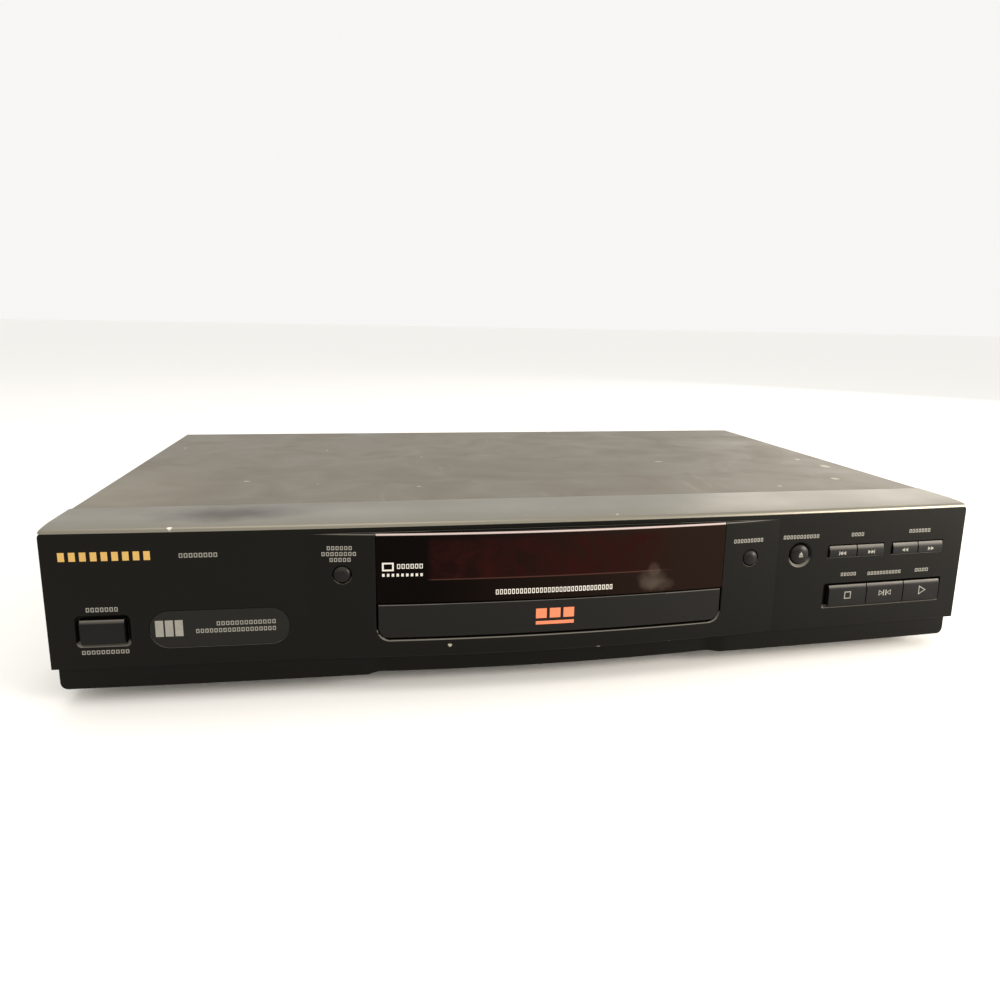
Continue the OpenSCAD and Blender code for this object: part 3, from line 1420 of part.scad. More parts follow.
module turntable() {
    color("#2d2d30") framed() lowered() difference() {
        union() {
            post(0, disc_y, turntable_d, turntable_z, disc_plane_z);
            translate([0, disc_y, disc_plane_z - touch])
                cylinder(d1 = hub_d, d2 = hub_d - 2 * hub_bevel, h = hub_h + touch);
            post(0, disc_y, turntable_boss_d, motor_top_z + seat_gap, turntable_z + touch);
        }
        post(0, disc_y, spindle_d + 2 * run_fit, motor_top_z - cut, disc_plane_z + hub_h + cut);
    }
}

module pickup_sled() {
    y1 = sled_y0 + sled_len;
    color("#8d8f92") framed() lowered() difference() {
        union() {
            block([-sled_x, sled_y0, sled_z], [sled_x, y1, sled_top_z]);
            block([-holder_w / 2, sled_y0 + holder_inset, sled_top_z - touch],
                  [holder_w / 2, lens_y + holder_reach, lens_top_z - lens_rise]);
            // Arm that reaches over the lead screw
            block([sled_x - touch, sled_y0 + arm_y, rod_z + screw_d / 2 + seat_gap],
                  [screw_x + screw_d / 2, sled_y0 + arm_y + arm_w, sled_top_z]);
        }
        for (s = [-1, 1]) bar_y(s * rod_x, rod_z, rod_d + 2 * run_fit, sled_y0 - cut, y1 + cut);
        post(0, lens_y, lens_d + 2 * seat_gap, sled_top_z - lens_seat, lens_top_z);
    }
}

module pickup_lens() {
    color("#7fa6d8") framed() lowered() {
        post(0, lens_y, lens_d, sled_top_z - lens_seat, lens_top_z - lens_rise);
        translate([0, lens_y, lens_top_z - lens_rise - touch])
            cylinder(d1 = lens_d / 2 + lens_rise, d2 = lens_d / 2, h = lens_rise + touch);
    }
}

module lead_screw() {
    y0 = window_y0 - rod_seat + seat_gap;
    y1 = window_y1 - 2;
    color("#b9bcbe") framed() lowered() difference() {
        union() {
            bar_y(screw_x, rod_z, screw_end_d, y0, y1);
            bar_y(screw_x, rod_z, screw_d, window_y0 + 1, y1);
        }
        // Thread, as rings one groove apart
        for (n = [1 : floor((y1 - window_y0 - 3) / (screw_lead / 2))]) {
            ring_y = window_y0 + n * screw_lead / 2;
            difference() {
                bar_y(screw_x, rod_z, screw_d + cut, ring_y, ring_y + thread_w);
                bar_y(screw_x, rod_z, screw_d - thread_w, ring_y - cut, ring_y + thread_w + cut);
            }
        }
        bar_y(screw_x, rod_z, spindle_d + 2 * run_fit, y1 - rod_seat, y1 + cut);
    }
}

// Plate with two sloping slots, which lifts the traverse as it slides
module lift_slider() {
    color("#dcd8c8") framed() difference() {
        block([slider_x0, slider_y, slider_z], [slider_x1, slider_y + slider_t, slider_top_z]);
        for (x = lift_pin_x) along_y(slider_y - cut, slider_y + slider_t + cut)
            translate([x, lift_pin_low_z]) rotate(180 - cam_angle) {
                translate([0, -cam_slot_w / 2]) square([cam_len, cam_slot_w]);
                circle(d = cam_slot_w);
                translate([cam_len, 0]) circle(d = cam_slot_w);
            }
    }
}

// ---- Screws ----

// Screw along -Z with its head's underside at z
module screw_down(x, y, z, len) {
    post(x, y, screw_shank_d, z - len, z + touch);
    post(x, y, screw_head_d, z, z + screw_head_h);
}

module board_screws() {
    color("#c2c4c0") framed() {
        for (p = chassis_stand_xy) screw_down(p[0], p[1], board_top_z, board_t + board_rise);
        for (p = panel_boss_xz) {
            bar_y(p[0], p[1], screw_shank_d, front_board_y - tap_len, front_board_y + board_t + touch);
            bar_y(p[0], p[1], screw_head_d, front_board_y + board_t, front_board_y + board_t + screw_head_h);
        }
        for (p = display_boss_xz) {
            bar_y(p[0], p[1], thin_screw_d, front_board_y - tap_len, front_board_y + board_t + touch);
            bar_y(p[0], p[1], 2 * thin_screw_d, front_board_y + board_t, front_board_y + board_t + thin_head_h);
        }
    }
}

module loader_screws() {
    color("#c2c4c0") framed() {
        for (p = loader_post_xy) screw_down(p[0], p[1], loader_lug_z + loader_lug_t, loader_lug_t + 8);
        for (s = [-1, 1]) translate([s * bridge_screw_x, disc_y, bridge_z + bridge_t]) {
            translate([0, 0, -bridge_t - tap_len]) cylinder(d = thin_screw_d, h = bridge_t + tap_len + touch);
            cylinder(d = 2 * thin_screw_d, h = thin_head_h);
        }
    }
}

module cover_screws() {
    color("#3a3a38") framed() {
        for (s = [-1, 1]) {
            for (y = side_screw_y) {
                bar_x(y, side_screw_z, screw_shank_d, s > 0 ? chassis_x - chassis_wall - 1 : -cover_x - touch,
                      s > 0 ? cover_x + touch : -chassis_x + chassis_wall + 1);
                bar_x(y, side_screw_z, screw_head_d, s > 0 ? cover_x : -cover_x - side_step,
                      s > 0 ? cover_x + side_step : -cover_x);
            }
            bar_y(s * lip_screw_x, lip_screw_z, screw_shank_d, rear_y - 4, case_depth + touch);
            bar_y(s * lip_screw_x, lip_screw_z, screw_head_d, case_depth, case_depth + screw_head_h);
        }
    }
}

bottom_chassis();
top_cover();
front_panel();
top_trim();
display_window();
badge_plate();
rear_panel();
foot_front_left();
foot_front_right();
foot_rear_left();
foot_rear_right();
phono_block();
phono_sleeves();
video_socket();
digital_socket();
mains_inlet();
inlet_pins();
main_board();
board_chips();
power_board();
power_transformer();
heatsink();
smoothing_capacitors();
display_board();
display_tube();
left_key_board();
right_key_board();
key_switches();
loader_frame();
clamp_bridge();
loading_motor();
drive_belt();
cover_screws();
board_screws();
loader_screws();
disc_tray();
tray_door();
motor_pulley();
belt_pulley();
drive_gear();
lift_slider();
traverse_frame();
traverse_motors();
turntable();
guide_rods();
pickup_sled();
pickup_lens();
lead_screw();
clamper();
power_button();
surround_button();
scroll_button();
open_close_button();
skip_back_button();
skip_forward_button();
search_back_button();
search_forward_button();
stop_button();
pause_button();
play_button();
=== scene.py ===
"""Looks of a full-size disc player with a motor-driven tray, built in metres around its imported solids."""

import math
from collections import namedtuple

import bmesh
import bpy
from bpy.props import FloatProperty, FloatVectorProperty, IntProperty, PointerProperty
from mathutils import Matrix, Vector


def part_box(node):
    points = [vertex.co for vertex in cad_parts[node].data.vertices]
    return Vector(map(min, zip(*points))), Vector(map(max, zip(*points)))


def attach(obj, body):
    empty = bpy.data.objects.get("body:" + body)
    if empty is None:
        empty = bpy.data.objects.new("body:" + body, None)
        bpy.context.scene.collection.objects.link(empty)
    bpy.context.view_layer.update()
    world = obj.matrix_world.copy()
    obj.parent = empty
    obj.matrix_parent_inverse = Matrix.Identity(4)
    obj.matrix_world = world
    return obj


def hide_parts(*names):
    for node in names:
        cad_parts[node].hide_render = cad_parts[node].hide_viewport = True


bl_info = {
    "name": "Disc player with tray",
    "version": (1, 0, 0),
    "blender": (4, 5, 0),
    "location": "View3D > Sidebar > Disc player",
    "description": "Models and finishes the case, front, buttons and tray of a full-size disc player",
    "category": "Add Mesh",
}

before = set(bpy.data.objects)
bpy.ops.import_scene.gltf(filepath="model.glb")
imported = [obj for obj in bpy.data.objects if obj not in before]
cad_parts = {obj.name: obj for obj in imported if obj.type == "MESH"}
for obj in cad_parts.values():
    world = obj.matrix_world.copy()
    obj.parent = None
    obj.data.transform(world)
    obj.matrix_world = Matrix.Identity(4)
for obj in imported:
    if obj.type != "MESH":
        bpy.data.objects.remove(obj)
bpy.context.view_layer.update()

# A millimetre, and the distance under which two places count as the same
MM = 0.001
CLOSE = 0.00001

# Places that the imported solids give
PANEL_LOW, PANEL_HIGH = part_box("front_panel")
TRIM_LOW, TRIM_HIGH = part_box("top_trim")
COVER_LOW, COVER_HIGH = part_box("top_cover")
WINDOW_LOW, WINDOW_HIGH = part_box("display_window")
DOOR_LOW, DOOR_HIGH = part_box("tray_door")
BADGE_LOW, BADGE_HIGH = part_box("badge_plate")
PANEL_X = PANEL_HIGH.x
PANEL_TOP = PANEL_HIGH.z
PANEL_BACK = PANEL_HIGH.y
TOP = TRIM_HIGH.z

SQUARE_BUTTONS = ["power_button", "stop_button", "pause_button", "play_button", "skip_back_button",
                  "skip_forward_button", "search_back_button", "search_forward_button"]
ROUND_BUTTONS = ["surround_button", "scroll_button", "open_close_button"]
# The buttons that stand in a recess, and those on the raised middle section
RECESSED = SQUARE_BUTTONS[:4]
ON_RAISED = ROUND_BUTTONS[:2]

# Behind the panel, a flange makes a button so much higher than its cap, and a round one as much wider
FLANGE = 3.8 * MM
FLANGE_WALL = 1.2 * MM
STEM_HALF = 1.8 * MM

# Where the cutter of the opening and those of the square buttons' holes start and end, from the panel's face
OPENING_REACH = (-8 * MM, 12 * MM)
HOLE_REACH = (-2 * MM, 8 * MM)

# Recesses round the power button and the lower row of keys, in millimetres: margins to the left, to the right
# and above, of which half is floor and half is slope, then the sloping lower lip and the corners' radius
Recess = namedtuple("Recess", "buttons left right top lip corner")
RECESSES = [Recess(RECESSED[:1], left=1.6, right=1.8, top=1.4, lip=0.9, corner=2.2),
            Recess(RECESSED[1:], left=2.4, right=0.6, top=0.5, lip=0.6, corner=0.8)]

# Screws of the cover: two in each side, at these places along it, and two in the lip over the rear panel
SIDE_SCREW_Y = (-63 * MM, 95 * MM)
SIDE_SCREW_Z = 15 * MM
REAR_SCREW_X = 60 * MM
REAR_SCREW_Z = 74 * MM

# Sockets of the Mix node that blend two colours
MIX_A, MIX_B, MIX_RESULT = 6, 7, 2


def linear(hex_colour):
    """Turns an sRGB hex colour to linear red, green, blue and alpha."""
    parts = [int(hex_colour[place:place + 2], 16) / 255 for place in (1, 3, 5)]
    return tuple(c / 12.92 if c <= 0.04045 else ((c + 0.055) / 1.055) ** 2.4 for c in parts) + (1.0,)


# ---- Settings ----


def length(name, description, millimetres):
    """A length that the user can set, in metres."""
    return FloatProperty(name=name, description=description, default=millimetres * MM, min=0.0,
                         unit="LENGTH", subtype="DISTANCE", precision=5)


def colour(name, description, hex_colour):
    """A colour that the user can set."""
    return FloatVectorProperty(name=name, description=description, default=linear(hex_colour), size=4,
                               min=0.0, max=1.0, subtype="COLOR")


class PlayerSizes(bpy.types.PropertyGroup):
    """Sizes of the pieces that are modelled around the solids."""

    front_bow: length("Front bow", "How far the front bows forward between its corners", 5.7)
    raised_width: length("Raised width", "Width of the raised middle section", 219.4)
    raised_drop: length("Raised drop", "Drop from the panel's top to the raised section's top", 2.5)
    opening_width: length("Opening width", "Width of the opening for the window and the tray door", 161.4)
    window_fit: length("Window fit", "Gap between the window and its opening", 0.15)
    door_gap: length("Door gap", "Gap under the tray door", 1.0)
    door_corner: length("Door corner", "Radius of the tray door's lower corners", 5.0)
    door_wall: length("Door wall", "Thickness of the tray door", 2.6)
    window_wall: length("Window wall", "Thickness of the display window", 2.2)
    panel_wall: length("Panel wall", "Thickness of the front panel", 2.5)
    panel_floor: length("Panel floor", "Depth of the rim under the front panel", 7.0)
    skirt_height: length("Skirt height", "Height of the skirt under the front panel", 10.7)
    skirt_setback: length("Skirt setback", "How far the skirt stands behind the panel's face", 3.5)
    skirt_inset: length("Skirt inset", "How far the skirt stands in from the panel's ends", 1.5)
    skirt_corner: length("Skirt corner", "Radius of the skirt's lower corners", 3.0)
    key_gap: length("Button gap", "Gap between a button and its hole", 0.4)
    key_proud: length("Button height", "How far the buttons stand out of the panel", 0.9)
    key_slope: length("Button slope", "Height of the sloping upper part of a button", 2.3)
    key_lean: length("Button lean", "How far the upper edge of a button leans back", 0.75)
    dome: length("Dome", "Height of a round button's dome", 1.6)
    recess_depth: length("Recess depth", "Depth of the recesses round the larger buttons", 1.8)
    opening_edge: length("Opening edge", "Chamfer of the opening's edge round the tray door", 0.4)
    hole_slope: length("Hole slope", "Width of the slope round the open and close button", 1.2)
    panel_corner: length("Panel corner", "Radius of the front panel's upper corners", 1.7)
    middle_edge: length("Middle edge", "Radius of the raised section's upper edge", 1.1)
    middle_foot: length("Middle foot", "Radius of the raised section's lower edge", 0.6)
    trim_drop: length("Trim drop", "Fall of the trim band over its front part", 0.9)
    trim_roll: length("Trim roll", "Depth of the front part of the trim band that falls", 16.0)
    trim_edge: length("Trim edge", "Radius of the trim band's front edge, corners and ends", 1.6)
    badge_wall: length("Badge wall", "Thickness of the badge plate", 0.8)
    sheet: length("Sheet", "Thickness of the cover's steel sheet", 0.9)
    fold: length("Fold", "Outer radius of the cover's folds", 1.6)
    lip: length("Rear lip", "Height of the cover's lip over the rear panel", 10.0)
    slot_length: length("Slot length", "Length of a cooling slot", 26.0)
    slot_width: length("Slot width", "Width of a cooling slot", 2.5)
    slot_pitch: length("Slot pitch", "Distance between cooling slots", 7.0)
    slot_inset: length("Slot inset", "Distance from the cover's back to the first cooling slot", 60.0)
    slot_count: IntProperty(name="Slots", description="Cooling slots on each side", default=9, min=1)
    screw_head: length("Screw head", "Diameter of the cover screws' heads", 6.0)
    soft_edge: length("Soft edge", "Radius of the small rounded edges of moulded parts", 0.3)
    ink: length("Ink", "Thickness of the printed marks", 0.04)
    glyph: length("Glyph", "Distance between the small boxes of a caption", 1.8)
    strip: length("Strip", "Width of the strips that a bowed piece is divided into", 5.0)


class PlayerColours(bpy.types.PropertyGroup):
    """Main colours of the finishes."""

    cover: colour("Cover", "Grey-taupe paint of the steel cover", "#635c4d")
    trim: colour("Trim", "Silver paint of the trim band", "#7f7a6d")
    fascia: colour("Front", "Black plastic of the front panel", "#0b0a07")
    door: colour("Door", "Dark grey plastic of the tray door", "#131210")
    button: colour("Buttons", "Black plastic of the buttons", "#0e0d0c")
    badge: colour("Badge", "Dark grey plastic of the badge plate", "#181714")
    window: colour("Window", "Smoked plastic of the display window", "#050201")
    window_red: colour("Window red", "Red filter behind the middle of the window", "#200806")
    print_grey: colour("Print grey", "Ink of the small marks", "#8d8a80")
    print_gold: colour("Print gold", "Foil of the band at the upper left", "#cfa65a")
    print_orange: colour("Print orange", "Ink of the mark on the tray door", "#d9774e")
    floor: colour("Floor", "Pale studio floor", "#fcfbf8")


def sizes():
    return bpy.context.scene.player_sizes


def colours():
    return bpy.context.scene.player_colours


# ---- Modelling steps ----


def select(*pieces):
    """Selects these pieces and nothing else, in object mode, with the first one active."""
    if bpy.context.mode != "OBJECT":
        bpy.ops.object.mode_set(mode="OBJECT")
    bpy.ops.object.select_all(action="DESELECT")
    for piece in pieces:
        piece.select_set(True)
    if pieces:
        bpy.context.view_layer.objects.active = pieces[0]


def settle(name):
    """Moves the new object's place and turn into its mesh and names it."""
    bpy.ops.object.transform_apply(location=True, rotation=True, scale=True)
    piece = bpy.context.object
    piece.name = piece.data.name = name
    return piece


def box(name, low, high):
    """A box between two corners."""
    select()
    middle = [(a + b) / 2 for a, b in zip(low, high)]
    bpy.ops.mesh.primitive_cube_add(size=1, location=middle, scale=[b - a for a, b in zip(low, high)])
    return settle(name)


def at(part, **place):
    """True if every corner of a vertex, edge or face lies at these coordinates."""
    corners = getattr(part, "verts", [part])
    return all(abs(getattr(corner.co, axis) - value) < CLOSE
               for corner in corners for axis, value in place.items())


def at_ends(part, x, **place):
    """True if a part lies at the left or the right end of a piece from -x to x, and at these coordinates."""
    return at(part, **place) and (at(part, x=-x) or at(part, x=x))


def along(edge, axis):
    """True for an edge of a box that runs along an axis."""
    start, end = (getattr(corner.co, axis) for corner in edge.verts)
    return abs(end - start) > CLOSE


def behind(face, y):
    """True for a face whose middle lies behind y."""
    return face.calc_center_median().y > y


def pick(piece, kind, test):
    """Starts edit mode on a piece, with only the parts selected that pass the test."""
    select(piece)
    bpy.ops.object.mode_set(mode="EDIT")
    bpy.ops.mesh.select_mode(type=kind)
    bpy.ops.mesh.select_all(action="DESELECT")
    shape = bmesh.from_edit_mesh(piece.data)
    for part in {"VERT": shape.verts, "EDGE": shape.edges, "FACE": shape.faces}[kind]:
        if test(part):
            part.select_set(True)
    bmesh.update_edit_mesh(piece.data)


def leave_edit():
    """Ends the edit mode that pick starts."""
    bpy.ops.object.mode_set(mode="OBJECT")


def everything(part):
    """A test that every part passes."""
    return True


def remove_faces(piece, test):
    """Opens a piece where its faces pass the test."""
    pick(piece, "FACE", test)
    bpy.ops.mesh.delete(type="FACE")
    leave_edit()


def round_edges(piece, test, radius, segments=4):
    """Rounds the edges that pass the test."""
    pick(piece, "EDGE", test)
    bpy.ops.mesh.bevel(offset=radius, segments=segments, affect="EDGES", clamp_overlap=False)
    leave_edit()


def round_lower_corners(piece, half, low, radius, segments=8):
    """Rounds the two lower corners of a piece that spans from -half to half."""
    round_edges(piece, lambda e: at_ends(e, half, z=low), radius, segments)


def shift(piece, test, x=0.0, y=0.0, z=0.0):
    """Moves the vertices that pass the test."""
    pick(piece, "VERT", test)
    bpy.ops.transform.translate(value=(x, y, z))
    leave_edit()


def split(piece, test, place, normal, **keep):
    """Cuts the faces that pass the test along a plane."""
    pick(piece, "FACE", test)
    bpy.ops.mesh.bisect(plane_co=place, plane_no=normal, **keep)
    leave_edit()


def shape_with(piece, kind, **settings):
    """Adds a modifier to a piece and applies it."""
    select(piece)
    modifier = piece.modifiers.new(kind.title(), kind)
    for name, value in settings.items():
        setattr(modifier, name, value)
    bpy.ops.object.modifier_apply(modifier=modifier.name)
    return piece


def thicken(piece, wall):
    """Gives a sheet its wall, inwards."""
    return shape_with(piece, "SOLIDIFY", thickness=wall, offset=-1.0, use_even_offset=True)


def combine(piece, other, operation="UNION"):
    """Joins another solid to a piece, or cuts it away, and removes it."""
    shape_with(piece, "BOOLEAN", object=other, operation=operation, solver="EXACT")
    bpy.data.objects.remove(other)
    return piece


def cut(piece, *cutters):
    """Cuts solids away from a piece, one after the other."""
    for cutter in cutters:
        combine(piece, cutter, "DIFFERENCE")


def soften(piece, radius=None, segments=2, limit=35):
    """Rounds every sharp edge of a moulded piece a little."""
    return shape_with(piece, "BEVEL", width=radius or sizes().soft_edge, segments=segments,
                      limit_method="ANGLE", angle_limit=math.radians(limit), use_clamp_overlap=False)


def strips(piece):
    """Divides a flat piece into upright strips, so that it can follow the curve of the front."""
    step = sizes().strip
    low = min(point.co.x for point in piece.data.vertices)
    high = max(point.co.x for point in piece.data.vertices)
    pick(piece, "FACE", everything)
    for place in range(math.ceil(low / step), math.floor(high / step) + 1):
        bpy.ops.mesh.select_all(action="SELECT")
        bpy.ops.mesh.bisect(plane_co=(place * step, 0, 0), plane_no=(1, 0, 0))
    leave_edit()


def joined(name, pieces):
    """One object made of several."""
    select(*pieces)
    if len(pieces) > 1:
        bpy.ops.object.join()
    pieces[0].name = pieces[0].data.name = name
    return pieces[0]


def turned(name, centre, steps, sides=48):
    """A round piece with its axis along Y: a disc that is extruded and resized for each (y, radius)."""
    select()
    (first_y, first_radius), rest = steps[0], steps[1:]
    bpy.ops.mesh.primitive_circle_add(vertices=sides, radius=first_radius, fill_type="NGON",
                                      location=(centre[0], first_y, centre[1]), rotation=(math.pi / 2, 0, 0))
    piece = settle(name)
    pick(piece, "FACE", everything)
    last_y, last_radius = first_y, first_radius
    for y, radius in rest:
        bpy.ops.mesh.extrude_region_move(TRANSFORM_OT_translate={"value": (0, y - last_y, 0)})
        bpy.ops.transform.resize(value=[radius / last_radius] * 3, center_override=(centre[0], y, centre[1]))
        last_y, last_radius = y, radius
    bpy.ops.mesh.select_all(action="SELECT")
    bpy.ops.mesh.normals_make_consistent(inside=False)
    leave_edit()
    return piece


def finish(piece, material, body, slot, *nodes, smooth=30):
    """Shades and paints a finished piece, ties it to the body, and hides the solids that it stands for."""
    select(piece)
    bpy.ops.object.shade_smooth_by_angle(angle=math.radians(smooth))
    shape_with(piece, "WEIGHTED_NORMAL", keep_sharp=True, weight=80)
    if not piece.data.materials:
        piece.data.materials.append(material)
    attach(piece, body)
    if nodes:
        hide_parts(*nodes)
    return piece


# ---- Curves of the front ----


def arc(half_width, fall):
    """How far an arc has fallen back at x, when it falls that much over that half width."""
    radius = (half_width ** 2 + fall ** 2) / (2 * fall)
    return lambda x: radius - math.sqrt(radius ** 2 - x ** 2)


def front_curves():
    """Two functions of x: the panel's face on its wide bow, and the raised middle section's face."""
    s = sizes()
    wide_arc = arc(PANEL_X, s.front_bow)
    half = s.raised_width / 2
    raised_y = PANEL_LOW.y + 2 * s.ink
    raised_arc = arc(half, TRIM_LOW.y + wide_arc(half) - raised_y)
    return (lambda x: TRIM_LOW.y + wide_arc(x)), (lambda x: raised_y + raised_arc(x))


def bend(piece, curve):
    """Moves every point of a flat piece to where the curve puts it, from back to front only."""
    for point in piece.data.vertices:
        point.co.y = curve(point.co)


def on_wide(co):
    """Where a point of a flat piece lies once the piece follows the panel's wide bow."""
    return front_curves()[0](co.x) + co.y


def on_raised(co):
    """Where a point of a flat piece lies once the piece follows the raised middle section."""
    return front_curves()[1](co.x) + co.y


# ---- Finishes ----


def add_node(tree, kind, inputs=None, **settings):
    """Adds a node, sets it, and fills its sockets with values or with other nodes' outputs."""
    made = tree.nodes.new("ShaderNode" + kind)
    for name, value in settings.items():
        setattr(made, name, value)
    for socket, value in (inputs or {}).items():
        if isinstance(value, bpy.types.NodeSocket):
            tree.links.new(value, made.inputs[socket])
        else:
            made.inputs[socket].default_value = value
    return made


def new_material(name):
    """A new material, its empty node tree, and the piece's own coordinates in it."""
    made = bpy.data.materials.new(name)
    made.use_nodes = True
    tree = made.node_tree
    tree.nodes.clear()
    return made, tree, add_node(tree, "TexCoord").outputs["Object"]


def add_shader(tree, surface_colour, roughness, **inputs):
    """Ends a node tree with a shader of this colour and roughness."""
    settings = {"Base Color": surface_colour, "Roughness": roughness, **inputs}
    shader = add_node(tree, "BsdfPrincipled", settings)
    add_node(tree, "OutputMaterial", {"Surface": shader.outputs[0]})


def noise(tree, place, grain, detail=3.0, **inputs):
    """Noise with features of so many millimetres."""
    settings = {"Vector": place, "Scale": 1 / (grain * MM), "Detail": detail, **inputs}
    return add_node(tree, "TexNoise", settings)


def ramp(tree, value, start, end, low=0.0, high=1.0):
    """Goes from low at start to high at end, and stays there."""
    return add_node(tree, "MapRange", {"Value": value, "From Min": start, "From Max": end, "To Min": low,
                                       "To Max": high}).outputs[0]


def product(tree, *masks):
    """The product of several masks."""
    result = masks[0]
    for mask in masks[1:]:
        result = add_node(tree, "Math", {0: result, 1: mask}, operation="MULTIPLY").outputs[0]
    return result


def blended(tree, mask, below, above):
    """One colour over another, by a mask."""
    return add_node(tree, "Mix", {0: mask, MIX_A: below, MIX_B: above}, data_type="RGBA").outputs[MIX_RESULT]


def spot(tree, place, centre, radii, fade=0.5):
    """A mask that is 1 in a spot and fades out at its edge. A radius of 0 leaves that axis out."""
    scale = [1 / (radius * MM) if radius else 0.0 for radius in radii]
    offset = [-middle * MM * factor for middle, factor in zip(centre, scale)]
    local = add_node(tree, "Mapping", {"Vector": place, "Location": offset, "Scale": scale})
    distance = add_node(tree, "VectorMath", {0: local.outputs[0]}, operation="LENGTH").outputs["Value"]
    return ramp(tree, distance, 1.0, 1.0 - fade)


def spotted(tree, place, surface_colour, spots):
    """Lays ragged spots over a colour. Each is its middle, its half axes and its kind of wear or of painted
    light and shade.
    """
    ragged = {}
    for centre, radii, (spot_colour, strength, fade, size) in spots:
        if size not in ragged:
            wander = noise(tree, place, size, 5.0).outputs["Color"]
            ragged[size] = add_node(tree, "VectorMath", {0: wander, 1: [size * MM] * 3, 2: place},
                                    operation="MULTIPLY_ADD").outputs[0]
        middle = [axis + size / 2 for axis in centre]
        mask = product(tree, spot(tree, ragged[size], middle, radii, fade), strength)
        surface_colour = blended(tree, mask, surface_colour, linear(spot_colour))
    return surface_colour


def painted_highlight_mask(tree):
    """A mask of the narrow edges and slopes that face upwards, where a paler colour is painted as a highlight
    from the light above.
    """
    normal = add_node(tree, "NewGeometry").outputs["Normal"]
    up = add_node(tree, "SeparateXYZ", {0: normal}).outputs["Z"]
    return product(tree, ramp(tree, up, 0.15, 0.4), ramp(tree, up, 0.97, 0.85))


def finish_of(name, base, shade, roughness, grain, depth, mottle=60.0, spread=0.12, specks=None, edge=None,
              spots=(), **shader):
    """A moulded, painted or plated surface.

    Its colour drifts between base and shade over patches of mottle millimetres. Its grain, in
    millimetres, lifts the surface by depth millimetres, and its roughness varies by spread.
    Specks are (spacing in millimetres, share of the spacing, colour) of dust or nicks. Edge is
    the paler colour painted on its upward-facing edges and slopes as a painted highlight, and
    spots are chips, smudges and patches of painted shade.
    """
    made = bpy.data.materials.get(name)
    if made:
        return made
    made, tree, place = new_material(name)
    patches = noise(tree, place, mottle, 4.0).outputs["Fac"]
    surface_colour = blended(tree, patches, base, shade)
    if specks:
        spacing, share, speck_colour = specks
        cells = add_node(tree, "TexVoronoi", {"Vector": place, "Scale": 1 / (spacing * MM)})
        dots = ramp(tree, cells.outputs["Distance"], share, share * 0.6)
        surface_colour = blended(tree, dots, surface_colour, speck_colour)
    # Painted highlight: the edge colour laid on upward-facing edges and slopes
    if edge:
        surface_colour = blended(tree, painted_highlight_mask(tree), surface_colour, edge)
    surface_colour = spotted(tree, place, surface_colour, spots)
    rough = ramp(tree, patches, 0.3, 0.7, roughness - spread / 2, roughness + spread / 2)
    fine = noise(tree, place, grain, 2.0).outputs["Fac"]
    bump = add_node(tree, "Bump", {"Height": fine, "Distance": depth * MM, "Strength": 0.6})
    add_shader(tree, surface_colour, rough, Normal=bump.outputs[0], **shader)
    return made


def toned(shade, factor):
    """A colour with its light scaled."""
    return tuple(min(1.0, part * factor) for part in shade[:3]) + (1.0,)


# Kinds of wear, and of painted light and painted shade: colour, strength, share that fades, and size of the
# ragged outline in millimetres
CHIP = ("#c4bcaa", 0.6, 0.5, 1.8)
RUB = ("#4c4034", 0.45, 0.8, 4.0)
NICK = ("#f0ece0", 0.7, 0.5, 0.8)
SMUDGE = ("#42352a", 1.0, 0.75, 9.0)
# Painted shade: a broad darker patch
PAINTED_SHADE_PATCH = ("#5f5a4e", 0.6, 1.0, 20.0)
# Painted light: a broad paler patch
PAINTED_LIGHT_PATCH = ("#7d7564", 0.6, 1.0, 20.0)
SMEAR = ("#5a5048", 0.17, 0.45, 3.0)


def seen_from_above(wear, *places):
    """Spots of one kind of wear or painted light. Each is its x, its y and its half axes along them, in
    millimetres.
    """
    return [((x, y, 0), (half_x, half_y, 0), wear) for x, y, half_x, half_y in places]


def seen_from_front(wear, *places):
    """Spots of one kind of wear. Each is its x, its z and its half axes along them, in millimetres."""
    return [((x, 0, z), (half_x, 0, half_z), wear) for x, z, half_x, half_z in places]


COVER_WEAR_AND_PAINTED_LIGHT = [
    *seen_from_above(CHIP, (200, -32, 3.2, 5.0), (196, -7, 1.8, 3.2), (182, -70, 2.8, 3.0),
                     (138, -86, 1.6, 1.4), (99, -7, 3.5, 1.6), (60, 131, 1.5, 2.5), (-49, 23, 0.8, 1.6),
                     (-57, -67, 1.6, 1.0), (-109, 53, 0.9, 1.8), (-109, -56, 1.0, 0.8),
                     (-146, -45, 2.2, 1.2), (-201, 70, 1.2, 2.2)),
    *seen_from_above(RUB, (95, -40, 8.0, 3.5), (119, -37, 11.0, 2.5), (101, -47, 3.0, 6.0)),
    # Painted light: a broad paler patch over the cover's left front
    *seen_from_above(PAINTED_LIGHT_PATCH, (-205, -70, 55.0, 95.0)),
]
TRIM_WEAR_AND_PAINTED_SHADE = [
    # Painted shade: a broad darker patch over the left rear part of the trim band
    *seen_from_above(PAINTED_SHADE_PATCH, (-140, -104, 150.0, 15.0)),
    *seen_from_above(SMUDGE, (-143, -116.5, 38.0, 14.5)),
    *seen_from_above(NICK, (-164, -134.5, 1.3, 0.8), (29, -135, 0.9, 0.7)),
]
WINDOW_WEAR = seen_from_front(SMEAR, (45.5, 53.5, 3.5, 4.5), (44.5, 49.5, 8.5, 5.0), (48.5, 46.5, 8.0, 3.5),
                              (43.5, 47.0, 6.0, 4.0))
PANEL_WEAR = seen_from_front(CHIP, (19.7, 17.6, 1.6, 0.8), (-48.8, 22.5, 1.0, 0.8), (54.5, 17.3, 1.4, 0.8))


